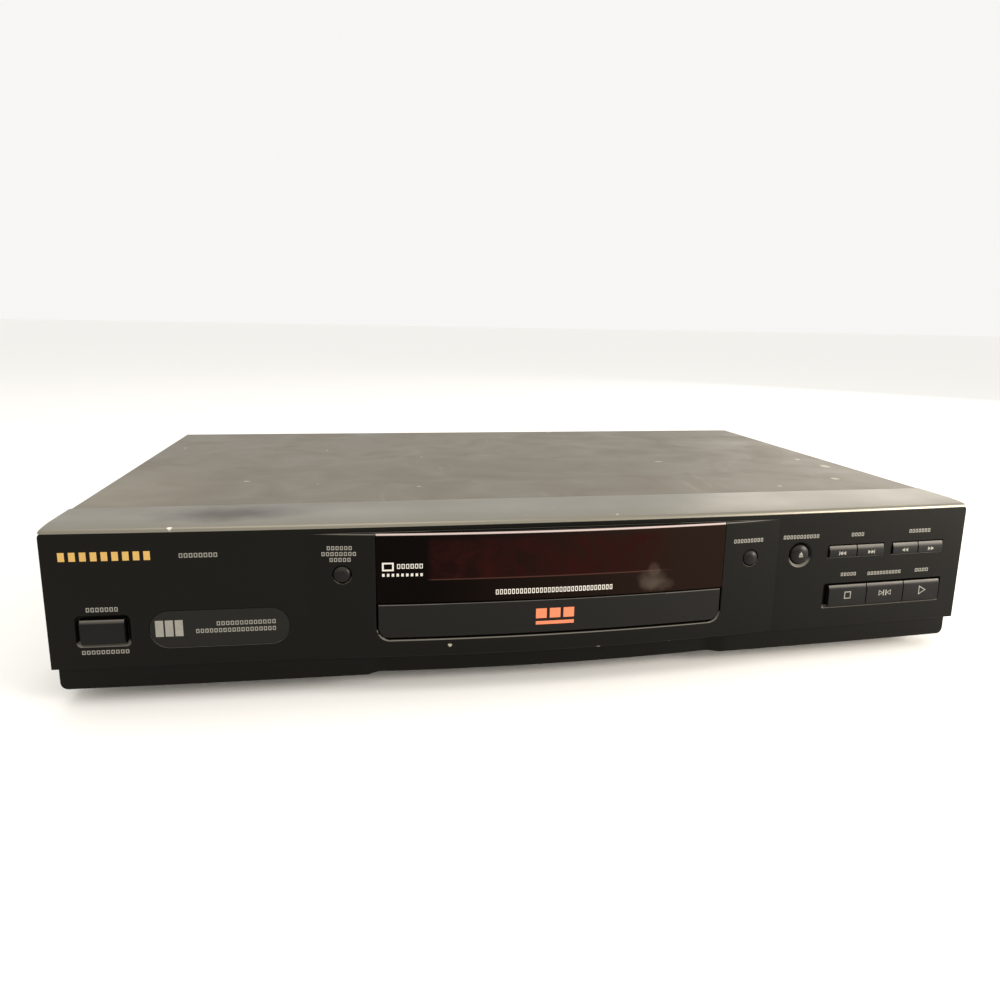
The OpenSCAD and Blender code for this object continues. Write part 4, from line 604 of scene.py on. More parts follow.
def fascia_plastic():
    # ABS moulded in black with a fine satin grain: dull black that greys a little where soft light falls,
    # with pale dust specks and a painted highlight on its upward-facing edges
    base = tuple(colours().fascia)
    return finish_of("ABS, satin black moulding", base, toned(base, 1.25), roughness=0.36, grain=0.5,
                     depth=0.01, specks=(16.0, 0.018, linear("#8a8880")), edge=linear("#625f58"),
                     spots=PANEL_WEAR, IOR=1.18)


def door_plastic():
    # ABS moulded in dark grey: a shade lighter and flatter than the front round it, with a painted highlight
    # on its upward-facing edges
    base = tuple(colours().door)
    return finish_of("ABS, dark grey moulding", base, toned(base, 1.2), roughness=0.42, grain=0.4,
                     depth=0.008, edge=linear("#5c5954"), IOR=1.2)


def button_plastic():
    # ABS polished by fingers: black with a tighter sheen, and a painted highlight on its upward-facing slopes
    base = tuple(colours().button)
    return finish_of("ABS, handled black moulding", base, toned(base, 1.3), roughness=0.32, grain=0.3,
                     depth=0.005, mottle=12.0, edge=linear("#66625b"), IOR=1.22)


def dome_plastic():
    # ABS of the round caps: polished evenly by fingertips, with a faint painted highlight on the dome's
    # upward-facing slopes
    base = tuple(colours().button)
    return finish_of("ABS, polished black domes", base, toned(base, 1.3), roughness=0.32, grain=0.3,
                     depth=0.005, mottle=12.0, edge=linear("#282622"), IOR=1.24)


def badge_plastic():
    # Polycarbonate plate, sprayed dark grey: even, slightly glossy and paler than the panel
    base = tuple(colours().badge)
    return finish_of("polycarbonate, sprayed grey", base, toned(base, 1.15), roughness=0.35, grain=0.4,
                     depth=0.004, IOR=1.21)


def trim_paint():
    # Metallic paint on an ABS moulding: fine aluminium flakes give a soft silver with a warm cast,
    # which brightens strongly towards the light
    base = tuple(colours().trim)
    # Its spots add a broad patch of painted shade over the band's left rear part, beside a real smudge and
    # nicks
    return finish_of("ABS, metallic silver paint", base, toned(base, 0.9), roughness=0.37, grain=0.35,
                     depth=0.006, mottle=45.0, spread=0.1, specks=(11.0, 0.02, linear("#f4f1e6")),
                     spots=TRIM_WEAR_AND_PAINTED_SHADE, Metallic=0.55)


def cover_paint():
    """Textured paint on folded steel sheet, with handling smudges, rubbed patches, chips and a paler patch of
    painted light.
    """
    # Baked texture paint: a grey-taupe with a fine orange-peel grain that scatters light broadly,
    # dulled by smudges, rubbed brown or paler where things have stood on it, and chipped near its edges
    made, tree, place = new_material("steel sheet, textured taupe paint")
    base = tuple(colours().cover)
    smears = noise(tree, place, 38, 5.0, Distortion=0.8).outputs["Fac"]
    patches = noise(tree, place, 110).outputs["Fac"]
    surface_colour = blended(tree, patches, toned(base, 0.92), toned(base, 1.1))
    dulled = ramp(tree, smears, 0.56, 0.76, 0.0, 0.4)
    surface_colour = blended(tree, dulled, surface_colour, linear("#5f5546"))
    stretched = add_node(tree, "Mapping", {"Vector": place, "Rotation": (0.0, 0.0, 0.5),
                                           "Scale": (1.0, 0.12, 1.0)})
    streaks = product(tree, ramp(tree, noise(tree, place, 55, 2.0).outputs["Fac"], 0.52, 0.62),
                      ramp(tree, noise(tree, stretched.outputs[0], 5).outputs["Fac"], 0.6, 0.78, 0.0, 0.2))
    surface_colour = blended(tree, streaks, surface_colour, linear("#a39c88"))
    # Chips, rubbed patches and a broad paler patch of painted light at the left front
    surface_colour = spotted(tree, place, surface_colour, COVER_WEAR_AND_PAINTED_LIGHT)
    rough = ramp(tree, smears, 0.3, 0.7, 0.42, 0.56)
    grain = noise(tree, place, 0.7).outputs["Fac"]
    bump = add_node(tree, "Bump", {"Height": grain, "Distance": 0.02 * MM, "Strength": 0.5})
    add_shader(tree, surface_colour, rough, Normal=bump.outputs[0], Metallic=0.25)
    return made


def window_acrylic():
    """Smoked acrylic with a red filter behind its middle."""
    # Cast acrylic, smoked nearly black: a mirror-smooth face, through which the filter shows as a mottled
    # deep red field with a thin paler rim at its lower edge. Its colour is painted lighter towards the right
    # as painted reflected light, and a pale pink painted highlight lies along its upper edge
    made, tree, place = new_material("acrylic, smoked and polished")
    axes = add_node(tree, "SeparateXYZ", {0: place})
    x, z = axes.outputs["X"], axes.outputs["Z"]
    left, right = -56 * MM, 43 * MM
    low, high = 53.5 * MM, 70 * MM
    blur = 3 * MM
    width = product(tree, ramp(tree, x, left - blur, left), ramp(tree, x, right + 4 * blur, right))
    field = product(tree, width, ramp(tree, z, low - 0.4 * MM, low), ramp(tree, z, high + blur, high))
    cloud = noise(tree, place, 22).outputs["Fac"]
    blotches = ramp(tree, noise(tree, place, 9, 4.0, Distortion=1.0).outputs["Fac"], 0.35, 0.65, 0.35, 1.0)
    # Painted reflection: the smoked colour grows lighter towards the right
    tint = blended(tree, ramp(tree, x, left, right), tuple(colours().window), linear("#1a100b"))
    tint = blended(tree, product(tree, field, blotches), tint, tuple(colours().window_red))
    rim_z = low - 0.3 * MM
    rim = product(tree, width, ramp(tree, z, low - 0.7 * MM, rim_z), ramp(tree, z, low + 0.1 * MM, rim_z))
    tint = blended(tree, product(tree, rim, 0.5), tint, linear("#5a3a33"))
    tint = spotted(tree, place, tint, WINDOW_WEAR)
    # Painted highlight: pale pink on the upward-facing upper edge
    tint = blended(tree, painted_highlight_mask(tree), tint, linear("#b0a09c"))
    rough = ramp(tree, cloud, 0.4, 0.75, 0.1, 0.24)
    add_shader(tree, tint, rough, IOR=1.1)
    return made


def grey_ink():
    # Pad-printed ink: flat grey-white, slightly broken where it has worn
    base = tuple(colours().print_grey)
    return finish_of("pad-printed ink, grey", base, toned(base, 0.65), roughness=0.6, grain=0.3,
                     depth=0.002, mottle=3.0, IOR=1.5)


def white_ink():
    # Pad-printed ink on the window, whiter than the marks on the panel
    return finish_of("pad-printed ink, white", linear("#d8d4cc"), linear("#b4b0a8"), roughness=0.55,
                     grain=0.3, depth=0.002, mottle=3.0, IOR=1.5)


def orange_ink():
    # Screen-printed ink: warm orange, a little uneven
    base = tuple(colours().print_orange)
    return finish_of("screen-printed ink, orange", base, toned(base, 0.75), roughness=0.5, grain=0.4,
                     depth=0.002, mottle=4.0, IOR=1.5)


def gold_foil():
    # Hot-stamped foil: thin gold with the sheen of brushed metal
    base = tuple(colours().print_gold)
    return finish_of("hot-stamped foil, gold", base, toned(base, 0.8), roughness=0.38, grain=0.4,
                     depth=0.002, mottle=5.0, Metallic=0.5)


def backdrop_paper():
    # Seamless backdrop paper: matt, nearly white and even
    base = tuple(colours().floor)
    return finish_of("paper backdrop, matt white", base, toned(base, 0.97), roughness=0.9, grain=3.0,
                     depth=0.001)


# Finishes of the solids that are shown as they are: slot, real material, base, shade, roughness, grain in
# millimetres, depth in millimetres, and what else the shader needs
SOLID_FINISHES = {
    # Zinc-plated sheet: cool grey with a soft spangle
    "chassis_steel": ("steel sheet, zinc plated", "#a3a49b", "#8a8b84", 0.36, 1.2, 0.01, {"Metallic": 1.0}),
    # Powder-coated sheet: even near-black with a dry grain
    "rear_black": ("steel sheet, black powder coat", "#2b2a27", "#353430", 0.55, 0.5, 0.02, {}),
    # Moulded rubber: dull, slightly brown black
    "foot_rubber": ("rubber, moulded", "#24221e", "#2f2c27", 0.85, 0.6, 0.02, {}),
    # Glass-filled nylon: dull black with a slight fibre grain
    "socket_black": ("nylon, glass filled", "#181817", "#222220", 0.5, 0.3, 0.01, {}),
    # Nickel plating: bright and slightly yellow
    "socket_metal": ("nickel plating on brass", "#d6d0bd", "#c2bba6", 0.2, 0.5, 0.002, {"Metallic": 1.0}),
    # Coloured ABS of the digital socket
    "socket_orange": ("ABS, orange moulding", "#c8701f", "#b5611a", 0.4, 0.4, 0.005, {}),
    # Epoxy-glass board under solder mask: glossy green with a fine weave
    "board_green": ("epoxy glass, green mask", "#2f5a32", "#27502c", 0.35, 0.8, 0.01, {"IOR": 1.55}),
    # Phenolic paper board: warm brown and matt
    "board_brown": ("phenolic paper board", "#8a6436", "#7a562c", 0.55, 0.6, 0.01, {}),
    # Moulded epoxy packages: matt black
    "chip_black": ("epoxy, moulded chip packages", "#1a1a1a", "#232323", 0.55, 0.2, 0.005, {}),
    # Polyester tape over copper windings
    "coil_yellow": ("polyester tape on windings", "#c8a247", "#b08c38", 0.4, 1.0, 0.02, {}),
    # Extruded aluminium with fine die lines
    "heatsink_alu": ("aluminium, extruded", "#c3c5c7", "#b0b3b6", 0.32, 0.4, 0.01, {"Metallic": 1.0}),
    # Shrunk sleeve of a capacitor: dark glossy blue
    "capacitor_sleeve": ("PVC shrink sleeve", "#1e2f4c", "#182740", 0.25, 2.0, 0.01, {}),
    # Soda glass of the display tube
    "tube_glass": ("soda glass, display tube", "#3f4f4c", "#33423f", 0.08, 1.0, 0.001,
                   {"Transmission Weight": 0.5}),
    # Moulded loader parts: black and slightly glossy
    "loader_plastic": ("ABS, black loader moulding", "#262624", "#302f2c", 0.42, 0.5, 0.01, {}),
    # Pressed steel bridge: plated, with drawn lines
    "bridge_steel": ("steel, pressed and plated", "#b3b4ae", "#9b9c96", 0.33, 0.8, 0.01, {"Metallic": 1.0}),
    # Rolled can of a small motor
    "motor_steel": ("steel, plated motor can", "#b8babb", "#a4a6a8", 0.28, 0.5, 0.004, {"Metallic": 1.0}),
    # Ground rubber of the belt
    "belt_rubber": ("rubber, ground square belt", "#1c1c1b", "#262625", 0.7, 0.3, 0.01, {}),
    # Zinc-plated screws
    "screw_steel": ("steel, zinc-plated screws", "#b9b9ae", "#a5a59a", 0.3, 0.4, 0.004, {"Metallic": 1.0}),
    # Acetal gears: waxy cream-white
    "gear_white": ("acetal, moulded", "#dcd7c6", "#cfc9b5", 0.38, 0.5, 0.003, {"Subsurface Weight": 0.1}),
    # Tray of satin black ABS
    "tray_black": ("ABS, satin black tray", "#232221", "#2c2b29", 0.4, 0.5, 0.008, {"IOR": 1.5}),
    # Die-cast pickup body
    "sled_metal": ("zinc, die cast", "#96989b", "#84868a", 0.45, 0.8, 0.02, {"Metallic": 1.0}),
    # Coated lens
    "lens_glass": ("acrylic lens, coated", "#7ea4d4", "#8f86c8", 0.05, 1.0, 0.001,
                   {"Transmission Weight": 0.6}),
    # Turned brass pulley
    "brass_pulley": ("brass, turned", "#d2ab5e", "#bd9850", 0.25, 0.3, 0.004, {"Metallic": 1.0}),
}


def solid_finish(slot):
    """The finish of the solids in a slot."""
    name, base, shade, roughness, grain, depth, shader = SOLID_FINISHES[slot]
    return finish_of(name, linear(base), linear(shade), roughness, grain, depth, mottle=25.0, **shader)


# ---- Printed marks ----


def flat_ring(x, z, outer, inner, sides=40, turn=0.0):
    """A flat ring or outline, drawn upright at y = 0. With an inner radius of 0 it's a filled shape."""
    select()
    bpy.ops.mesh.primitive_circle_add(vertices=sides, radius=outer, fill_type="NGON", location=(x, 0, z),
                                      rotation=(math.pi / 2, 0, 0))
    piece = settle("ring")
    pick(piece, "FACE", everything)
    if turn:
        bpy.ops.transform.rotate(value=-turn, orient_axis="Y", center_override=(x, 0, z))
    if inner:
        bpy.ops.mesh.inset(thickness=(outer - inner) * math.cos(math.pi / sides), use_even_offset=True)
        bpy.ops.mesh.delete(type="FACE")
    leave_edit()
    return piece


def flat_bar(x0, x1, z0, z1, count=1, gap=0.0, line=0.0):
    """A flat upright rectangle, or a row of equal ones that fills the same width, filled or as outlines."""
    width = (x1 - x0 - gap * (count - 1)) / count
    select()
    bpy.ops.mesh.primitive_plane_add(size=1, location=(x0 + width / 2, 0, (z0 + z1) / 2),
                                     rotation=(math.pi / 2, 0, 0))
    bpy.ops.transform.resize(value=(width, 1, z1 - z0))
    piece = settle("bar")
    if line:
        pick(piece, "FACE", everything)
        bpy.ops.mesh.inset(thickness=line, use_even_offset=True)
        bpy.ops.mesh.delete(type="FACE")
        leave_edit()
    if count > 1:
        shape_with(piece, "ARRAY", count=count, use_relative_offset=False, use_constant_offset=True,
                   constant_offset_displace=(width + gap, 0, 0))
    return piece


def bar_row(x0, x1, z0, z1, count=1, gap=0.0, line=0.0):
    """A flat bar or a row of them, in millimetres."""
    return flat_bar(x0 * MM, x1 * MM, z0 * MM, z1 * MM, count, gap * MM, line * MM)


def caption(x0, x1, z0, z1):
    """A row of small outlined boxes where a short caption would stand, in millimetres."""
    glyph = sizes().glyph
    return flat_bar(x0 * MM, x1 * MM, z0 * MM, z1 * MM, round((x1 - x0) * MM / glyph), 0.3 * glyph, 0.33 * MM)


def inked(piece, facing):
    """Turns flat shapes to face the front (-1) or the rear (1), and gives them the thickness of ink."""
    bpy.context.view_layer.update()
    for face in piece.data.polygons:
        if face.normal.y * facing < 0:
            face.flip()
    return shape_with(piece, "SOLIDIFY", thickness=sizes().ink, offset=-1.0)


def printed(name, shapes, curve):
    """Lays flat shapes on the front as a thin layer of ink."""
    piece = joined(name, shapes)
    pick(piece, "FACE", everything)
    bpy.ops.mesh.normals_make_consistent(inside=False)
    leave_edit()
    strips(piece)
    for point in piece.data.vertices:
        point.co.y = -sizes().ink
    bend(piece, curve)
    return inked(piece, -1)


def mark(name, shapes, curve, ink, slot, body="case"):
    """Prints flat shapes as one piece and ties it to the body that carries it."""
    finish(printed(name, shapes, curve), ink, body, slot)


def triangle(x, z, size, pointing, line=0.0):
    """A triangle that points left (-1) or right (1), filled or as an outline."""
    return flat_ring(x, z, size, size - line if line else 0.0, sides=3, turn=pointing * math.pi / 2)


def play_symbol(x, z):
    """A triangle as an outline."""
    return [triangle(x, z, 2.8 * MM, 1, 0.8 * MM)]


def pause_symbol(x, z):
    """Two upright bars between two triangles."""
    bars = [flat_bar(x + side - 0.3 * MM, x + side + 0.3 * MM, z - 1.5 * MM, z + 1.5 * MM)
            for side in (-0.7 * MM, 0.7 * MM)]
    return bars + [triangle(x - side * 2.6 * MM, z, 1.7 * MM, side, 0.6 * MM) for side in (-1, 1)]


def stop_symbol(x, z):
    """A square as an outline."""
    return [flat_ring(x, z, 2.6 * MM, 2.0 * MM, sides=4, turn=math.pi / 4)]


def search_symbol(x, z, pointing):
    """Two filled triangles that point to one side."""
    return [triangle(x + step * MM, z, 1.15 * MM, pointing) for step in (-0.9, 0.9)]


def skip_symbol(x, z, pointing):
    """Two filled triangles that point to an upright bar."""
    edge = x + pointing * 2.1 * MM
    bar = flat_bar(edge - 0.2 * MM, edge + 0.2 * MM, z - 1 * MM, z + 1 * MM)
    return search_symbol(x, z, pointing) + [bar]


def eject_symbol(x, z):
    """A filled triangle that points up, over a bar."""
    return [flat_ring(x, z + 0.4 * MM, 1.3 * MM, 0.0, sides=3),
            flat_bar(x - 1.1 * MM, x + 1.1 * MM, z - 1.1 * MM, z - 0.6 * MM)]


# ---- The case ----


def button_face(name):
    """Middle x and z, width and height of a button's cap."""
    low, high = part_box(name)
    width = high.x - low.x - (FLANGE if name in ROUND_BUTTONS else 0.0)
    return (low.x + high.x) / 2, (low.z + high.z) / 2, width, high.z - low.z - FLANGE


def recess_cutter(recess):
    """Cutter of the recess round a row of buttons."""
    s = sizes()
    left, right, top, lip, corner = (margin * MM for margin in recess[1:])
    faces = [button_face(name) for name in recess.buttons]
    play = 1.2 * s.key_gap
    start = -0.5 * MM
    z, height = faces[0][1], faces[0][3]
    low_x = min(x - width / 2 for x, _, width, _ in faces) - play - left / 2
    high_x = max(x + width / 2 for x, _, width, _ in faces) + play + right / 2
    low_z, high_z = z - height / 2 - play, z + height / 2 + play + top / 2
    cutter = box("cutter", (low_x, start, low_z), (high_x, s.recess_depth, high_z))
    round_edges(cutter, lambda e: along(e, "y"), corner, 5)
    middle = (low_x + high_x) / 2
    reach = (s.recess_depth - start) / s.recess_depth
    slopes = [(lambda v: v.co.x < middle, {"x": -left / 2 * reach}),
              (lambda v: v.co.x > middle, {"x": right / 2 * reach}),
              (lambda v: v.co.z > z, {"z": top / 2 * reach}),
              (lambda v: v.co.z < z, {"z": -lip * reach})]
    for side, step in slopes:
        shift(cutter, lambda v: at(v, y=start) and side(v), **step)
    return cutter


def opening_cutter():
    """Cutter of the opening for the tray door and what lies over it."""
    s = sizes()
    half = s.opening_width / 2
    low = DOOR_LOW.z - s.door_gap
    high = WINDOW_HIGH.z - s.panel_wall
    front, back = OPENING_REACH
    cutter = box("cutter", (-half, front, low), (half, back, high))
    round_lower_corners(cutter, half, low, s.door_corner + s.door_gap)
    return cutter


def opening_edge_cutter(reach):
    """Cutter that slopes the edge of the opening round the tray door."""
    s = sizes()
    half = s.opening_width / 2
    deep = s.opening_edge + 3 * MM
    back = s.opening_edge - reach
    low, high = DOOR_LOW.z - s.door_gap, WINDOW_LOW.z - s.opening_edge
    cutter = box("cutter", (-half, back - deep, low), (half, back, high))
    round_lower_corners(cutter, half, low, s.door_corner + s.door_gap)
    pick(cutter, "FACE", lambda f: at(f, y=back - deep))
    bpy.ops.transform.resize(value=(1 + deep / half, 1, 1 + 2 * deep / (high - low)),
                             center_override=(0, 0, (low + high) / 2))
    leave_edit()
    return cutter


def window_cutter(reach, raised_top):
    """Cutter of the shallow seat of the window, open at the top of the raised section."""
    s = sizes()
    half = s.opening_width / 2
    past = 1 * MM
    return box("cutter", (-half, -reach - past, WINDOW_LOW.z),
               (half, -reach + s.window_wall + s.window_fit, raised_top + past))


def hole_cutter(name, reach):
    """Cutter of the hole that a button moves in. The open and close button's hole starts with a slope."""
    s = sizes()
    x, z, width, height = button_face(name)
    across, up = width / 2 + s.key_gap, height / 2 + s.key_gap
    if name in SQUARE_BUTTONS:
        front, back = HOLE_REACH
        return box("cutter", (x - across, front, z - up), (x + across, back, z + up))
    face, slope = (-reach, 0.0) if name in ON_RAISED else (0.0, s.hole_slope)
    before, deep, back = 0.6 * MM, 1.0 * MM, 12 * MM
    return turned("cutter", (x, z), [(face - before, across + slope * (before + deep) / deep),
                                     (face + deep, across), (face + back, across)])


def panel_shell(low, depth):
    """The panel's face with its rims, still flat and open at the back."""
    s = sizes()
    panel = box("front_moulding", (-PANEL_X, 0, low), (PANEL_X, depth, PANEL_TOP))
    round_edges(panel, lambda e: at_ends(e, PANEL_X, z=PANEL_TOP), s.panel_corner)
    split(panel, lambda f: at(f, z=low), (0, s.panel_floor, 0), (0, 1, 0))
    remove_faces(panel, lambda f: at(f, y=depth) or at(f, z=low) and behind(f, s.panel_floor))
    return thicken(panel, s.panel_wall)


def raised_middle(low, high, reach):
    """The middle section of the panel, which stands forward of the rest."""
    s = sizes()
    half = s.raised_width / 2
    middle = box("middle", (-half, -reach, low), (half, s.panel_wall / 2, high))
    round_edges(middle, lambda e: at(e, y=-reach, z=high), s.middle_edge)
    round_edges(middle, lambda e: at(e, y=-reach, z=low), s.middle_foot, 3)
    return middle


def skirt_shell(low, high, depth):
    """The skirt under the panel, set back from its face and open at the top and the back."""
    s = sizes()
    x = PANEL_X - s.skirt_inset
    rim = s.skirt_setback + s.panel_floor
    skirt = box("skirt", (-x, s.skirt_setback, low), (x, depth, high))
    round_lower_corners(skirt, x, low, s.skirt_corner, 4)
    split(skirt, lambda f: at(f, z=low), (0, rim, 0), (0, 1, 0))
    remove_faces(skirt, lambda f: at(f, y=depth) or at(f, z=high) or at(f, z=low) and behind(f, rim))
    return thicken(skirt, s.panel_wall)


def fascia():
    """The moulded front panel, with its raised middle section, openings, recesses and skirt."""
    s = sizes()
    wide, raised = front_curves()
    reach = TRIM_LOW.y - PANEL_LOW.y
    depth = PANEL_BACK - TRIM_LOW.y - s.front_bow
    low = PANEL_LOW.z + s.skirt_height
    raised_top = PANEL_TOP - s.raised_drop
    skirt_overlap = 0.8 * MM
    badge_fit = 0.1 * MM

    panel = panel_shell(low, depth)
    combine(panel, raised_middle(low, raised_top, reach))
    combine(panel, skirt_shell(PANEL_LOW.z, low + skirt_overlap, depth))
    cut(panel, opening_cutter(), opening_edge_cutter(reach), window_cutter(reach, raised_top))
    cut(panel, *[recess_cutter(recess) for recess in RECESSES])
    cut(panel, *[hole_cutter(name, reach) for name in SQUARE_BUTTONS + ROUND_BUTTONS])
    cut(panel, badge_blank(-1 * MM, s.badge_wall + badge_fit, badge_fit))
    soften(panel)
    strips(panel)

    # The raised arc holds up to a band at the raised section's ends and top, where it meets the wide bow
    raised_x = s.raised_width / 2 - 6 * MM
    raised_z = raised_top - 1.2 * MM
    opening_x = s.opening_width / 2 + 1 * MM

    def curve(co):
        inside = abs(co.x) < raised_x and co.z < raised_z
        if inside and (co.y < 0 or abs(co.x) < opening_x):
            return raised(co.x) + reach + co.y
        if co.y >= 0:
            return wide(co.x) + co.y
        return wide(co.x) + (raised(co.x) - wide(co.x)) * -co.y / reach

    bend(panel, curve)
    return finish(panel, fascia_plastic(), "case", "fascia_black", "front_panel")


def badge_blank(y0, y1, grow):
    """A flat plate with round ends, in the badge's outline."""
    low_x, high_x = BADGE_LOW.x - grow, BADGE_HIGH.x + grow
    low_z, high_z = BADGE_LOW.z - grow, BADGE_HIGH.z + grow
    plate = box("badge", (low_x, y0, low_z), (high_x, y1, high_z))
    round_edges(plate, lambda e: along(e, "y"), 0.49 * (high_z - low_z), 10)
    return plate


def badge_plate():
    """The grey plate with round ends at the left of the front."""
    s = sizes()
    plate = badge_blank(0.0, s.badge_wall, 0.0)
    soften(plate, 0.15 * MM)
    strips(plate)
    bend(plate, on_wide)
    return finish(plate, badge_plastic(), "case", "badge_grey", "badge_plate")


def trim_band():
    """The silver band over the front, with a rolled front edge and rounded ends."""
    s = sizes()
    wide = front_curves()[0]
    depth = PANEL_BACK - TRIM_LOW.y
    band = box("trim_band", (-PANEL_X, 0, PANEL_TOP), (PANEL_X, depth, TOP))
    for share in (0.25, 0.5, 0.75, 1.0):
        split(band, everything, (0, share * s.trim_roll, 0), (0, 1, 0))
    for point in band.data.vertices:
        if point.co.z > PANEL_TOP + s.trim_drop and point.co.y < s.trim_roll:
            point.co.z -= s.trim_drop * (1 - point.co.y / s.trim_roll) ** 2

    def outer(edge):
        front = at(edge, y=0) and not at(edge, z=PANEL_TOP)
        upper = min(corner.co.z for corner in edge.verts) > PANEL_TOP + s.trim_drop
        return front or at_ends(edge, PANEL_X) and upper

    round_edges(band, outer, s.trim_edge, 5)
    strips(band)
    bend(band, lambda co: wide(co.x) + co.y * (PANEL_BACK - wide(co.x)) / depth)
    return finish(band, trim_paint(), "case", "trim_silver", "top_trim", smooth=40)


def slot_cutters():
    """A row of round-ended slots that pass through both sides of the cover."""
    s = sizes()
    first = COVER_HIGH.y - s.slot_inset
    middle_z = (PANEL_LOW.z + TOP) / 2
    x = PANEL_X + 5 * MM
    slots = box("cutter", (-x, first - s.slot_width / 2, middle_z - s.slot_length / 2),
                (x, first + s.slot_width / 2, middle_z + s.slot_length / 2))
    round_edges(slots, lambda e: along(e, "x"), 0.49 * s.slot_width, 6)
    return shape_with(slots, "ARRAY", count=s.slot_count, use_relative_offset=False, use_constant_offset=True,
                      constant_offset_displace=(0, -s.slot_pitch, 0))


def cover():
    """The folded steel cover: top, sides, and the lip over the rear panel."""
    s = sizes()
    x = COVER_HIGH.x
    sheet = box("cover_sheet", (-x, COVER_LOW.y, COVER_LOW.z), (x, COVER_HIGH.y, TOP))
    lip_low = TOP - s.lip
    split(sheet, lambda f: at(f, y=COVER_HIGH.y), (0, 0, lip_low), (0, 0, 1))
    remove_faces(sheet, lambda f: at(f, z=COVER_LOW.z) or at(f, y=COVER_LOW.y)
                 or at(f, y=COVER_HIGH.y) and f.calc_center_median().z < lip_low)
    round_edges(sheet, lambda e: at_ends(e, x, z=TOP) or at(e, y=COVER_HIGH.y, z=TOP), s.fold, 5)
    thicken(sheet, s.sheet)
    cut(sheet, slot_cutters())
    soften(sheet, 0.15 * MM, 1, 60)
    return finish(sheet, cover_paint(), "case", "cover_paint", "top_cover", smooth=35)


def window():
    """The smoked window over the tray door."""
    s = sizes()
    half = s.opening_width / 2 - s.window_fit
    pane = box("window_pane", (-half, 0, WINDOW_LOW.z), (half, s.window_wall, WINDOW_HIGH.z))
    round_edges(pane, lambda e: at(e, y=0, z=WINDOW_HIGH.z), s.middle_edge, 5)
    soften(pane, 0.25 * MM)
    strips(pane)
    bend(pane, on_raised)
    return finish(pane, window_acrylic(), "case", "window_smoke", "display_window", smooth=40)


def tray_front():
    """The door on the front of the tray."""
    s = sizes()
    x = DOOR_HIGH.x
    door = box("door_moulding", (-x, 0, DOOR_LOW.z), (x, s.door_wall, DOOR_HIGH.z))
    round_lower_corners(door, x, DOOR_LOW.z, s.door_corner)
    soften(door, 0.45 * MM, 3)
    strips(door)
    bend(door, on_raised)
    return finish(door, door_plastic(), "tray", "door_grey", "tray_door")


# ---- Buttons ----

# The small keys' symbols stand so much under the middle of the key
LOWER = 0.9 * MM
SYMBOLS = {
    "stop_button": stop_symbol,
    "pause_button": pause_symbol,
    "play_button": play_symbol,
    "skip_back_button": lambda x, z: skip_symbol(x, z - LOWER, -1),
    "skip_forward_button": lambda x, z: skip_symbol(x, z - LOWER, 1),
    "search_back_button": lambda x, z: search_symbol(x, z - LOWER, -1),
    "search_forward_button": lambda x, z: search_symbol(x, z - LOWER, 1),
}


def stem(piece, name, x, z, start):
    """Adds the stem that presses the switch behind the panel."""
    low = (x - STEM_HALF, start, z - STEM_HALF)
    high = (x + STEM_HALF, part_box(name)[1].y, z + STEM_HALF)
    return combine(piece, box("stem", low, high))


def square_button(name):
    """A rectangular cap whose upper part slopes back, with a flange and a stem behind the panel."""
    s = sizes()
    x, z, width, height = button_face(name)
    front = -s.key_proud
    flange = s.panel_wall + 0.3 * MM + (s.recess_depth if name in RECESSED else 0.0)
    back = flange + FLANGE_WALL
    left, right = x - width / 2, x + width / 2
    low, high = z - height / 2, z + height / 2
    cap = box(name.replace("button", "cap"), (left, front, low), (right, back, high))
    split(cap, everything, (0, 0, high - s.key_slope), (0, 0, 1))
    shift(cap, lambda v: at(v, y=front, z=high), y=s.key_lean)
    soften(cap, 0.25 * MM)
    combine(cap, box("flange", (left, flange, low - FLANGE / 2), (right, back, high + FLANGE / 2)))
    bend(cap, on_wide)
    stem(cap, name, x, z, on_wide(Vector((x, flange + FLANGE_WALL / 2, z))))
    finish(cap, button_plastic(), name, "key_black", name)
    if name in SYMBOLS:
        mark(name.replace("button", "symbol"), SYMBOLS[name](x, z), lambda co: on_wide(co) + front,
             grey_ink(), "key_black", name)


def round_button(name):
    """A domed cap with a flange and a stem behind the panel."""
    s = sizes()
    x, z, width, _ = button_face(name)
    low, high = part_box(name)
    radius = width / 2
    rings = 9
    flange = high.y - 7 * MM
    back = flange + FLANGE_WALL
    profile = [(high.y, STEM_HALF), (back, STEM_HALF), (back, radius + FLANGE / 2),
               (flange, radius + FLANGE / 2), (flange, radius)]
    for ring in range(rings, 0, -1):
        angle = math.pi / 2 * ring / rings
        profile.append((low.y + s.dome * (1 - math.cos(angle)), radius * math.sin(angle)))
    cap = turned(name.replace("button", "cap"), (x, z), profile, 56)
    finish(cap, dome_plastic(), name, "key_black", name, smooth=40)
    if name == "open_close_button":
        mark("open_close_symbol", eject_symbol(x, z), lambda co: low.y + 0.06 * MM + co.y, grey_ink(),
             "key_black", name)


# ---- Screws and marks ----


def pan_screw():
    """A pan-head screw with a cross recess, its head's underside at the origin and its top towards -Y."""
    radius = sizes().screw_head / 2
    height = 1.95 * MM
    shank = 0.45 * radius
    head = turned("screw", (0, 0), [(0.6 * MM, shank), (0, shank), (0, radius), (-0.45 * height, radius),
                                    (-0.8 * height, 0.86 * radius), (-height, 0.5 * radius)], 40)
    long, short = 1.7 * MM, 0.35 * MM
    for x, z in ((long, short), (short, long)):
        cut(head, box("cutter", (-x, -3 * MM, -z), (x, -0.55 * MM, z)))
    return head


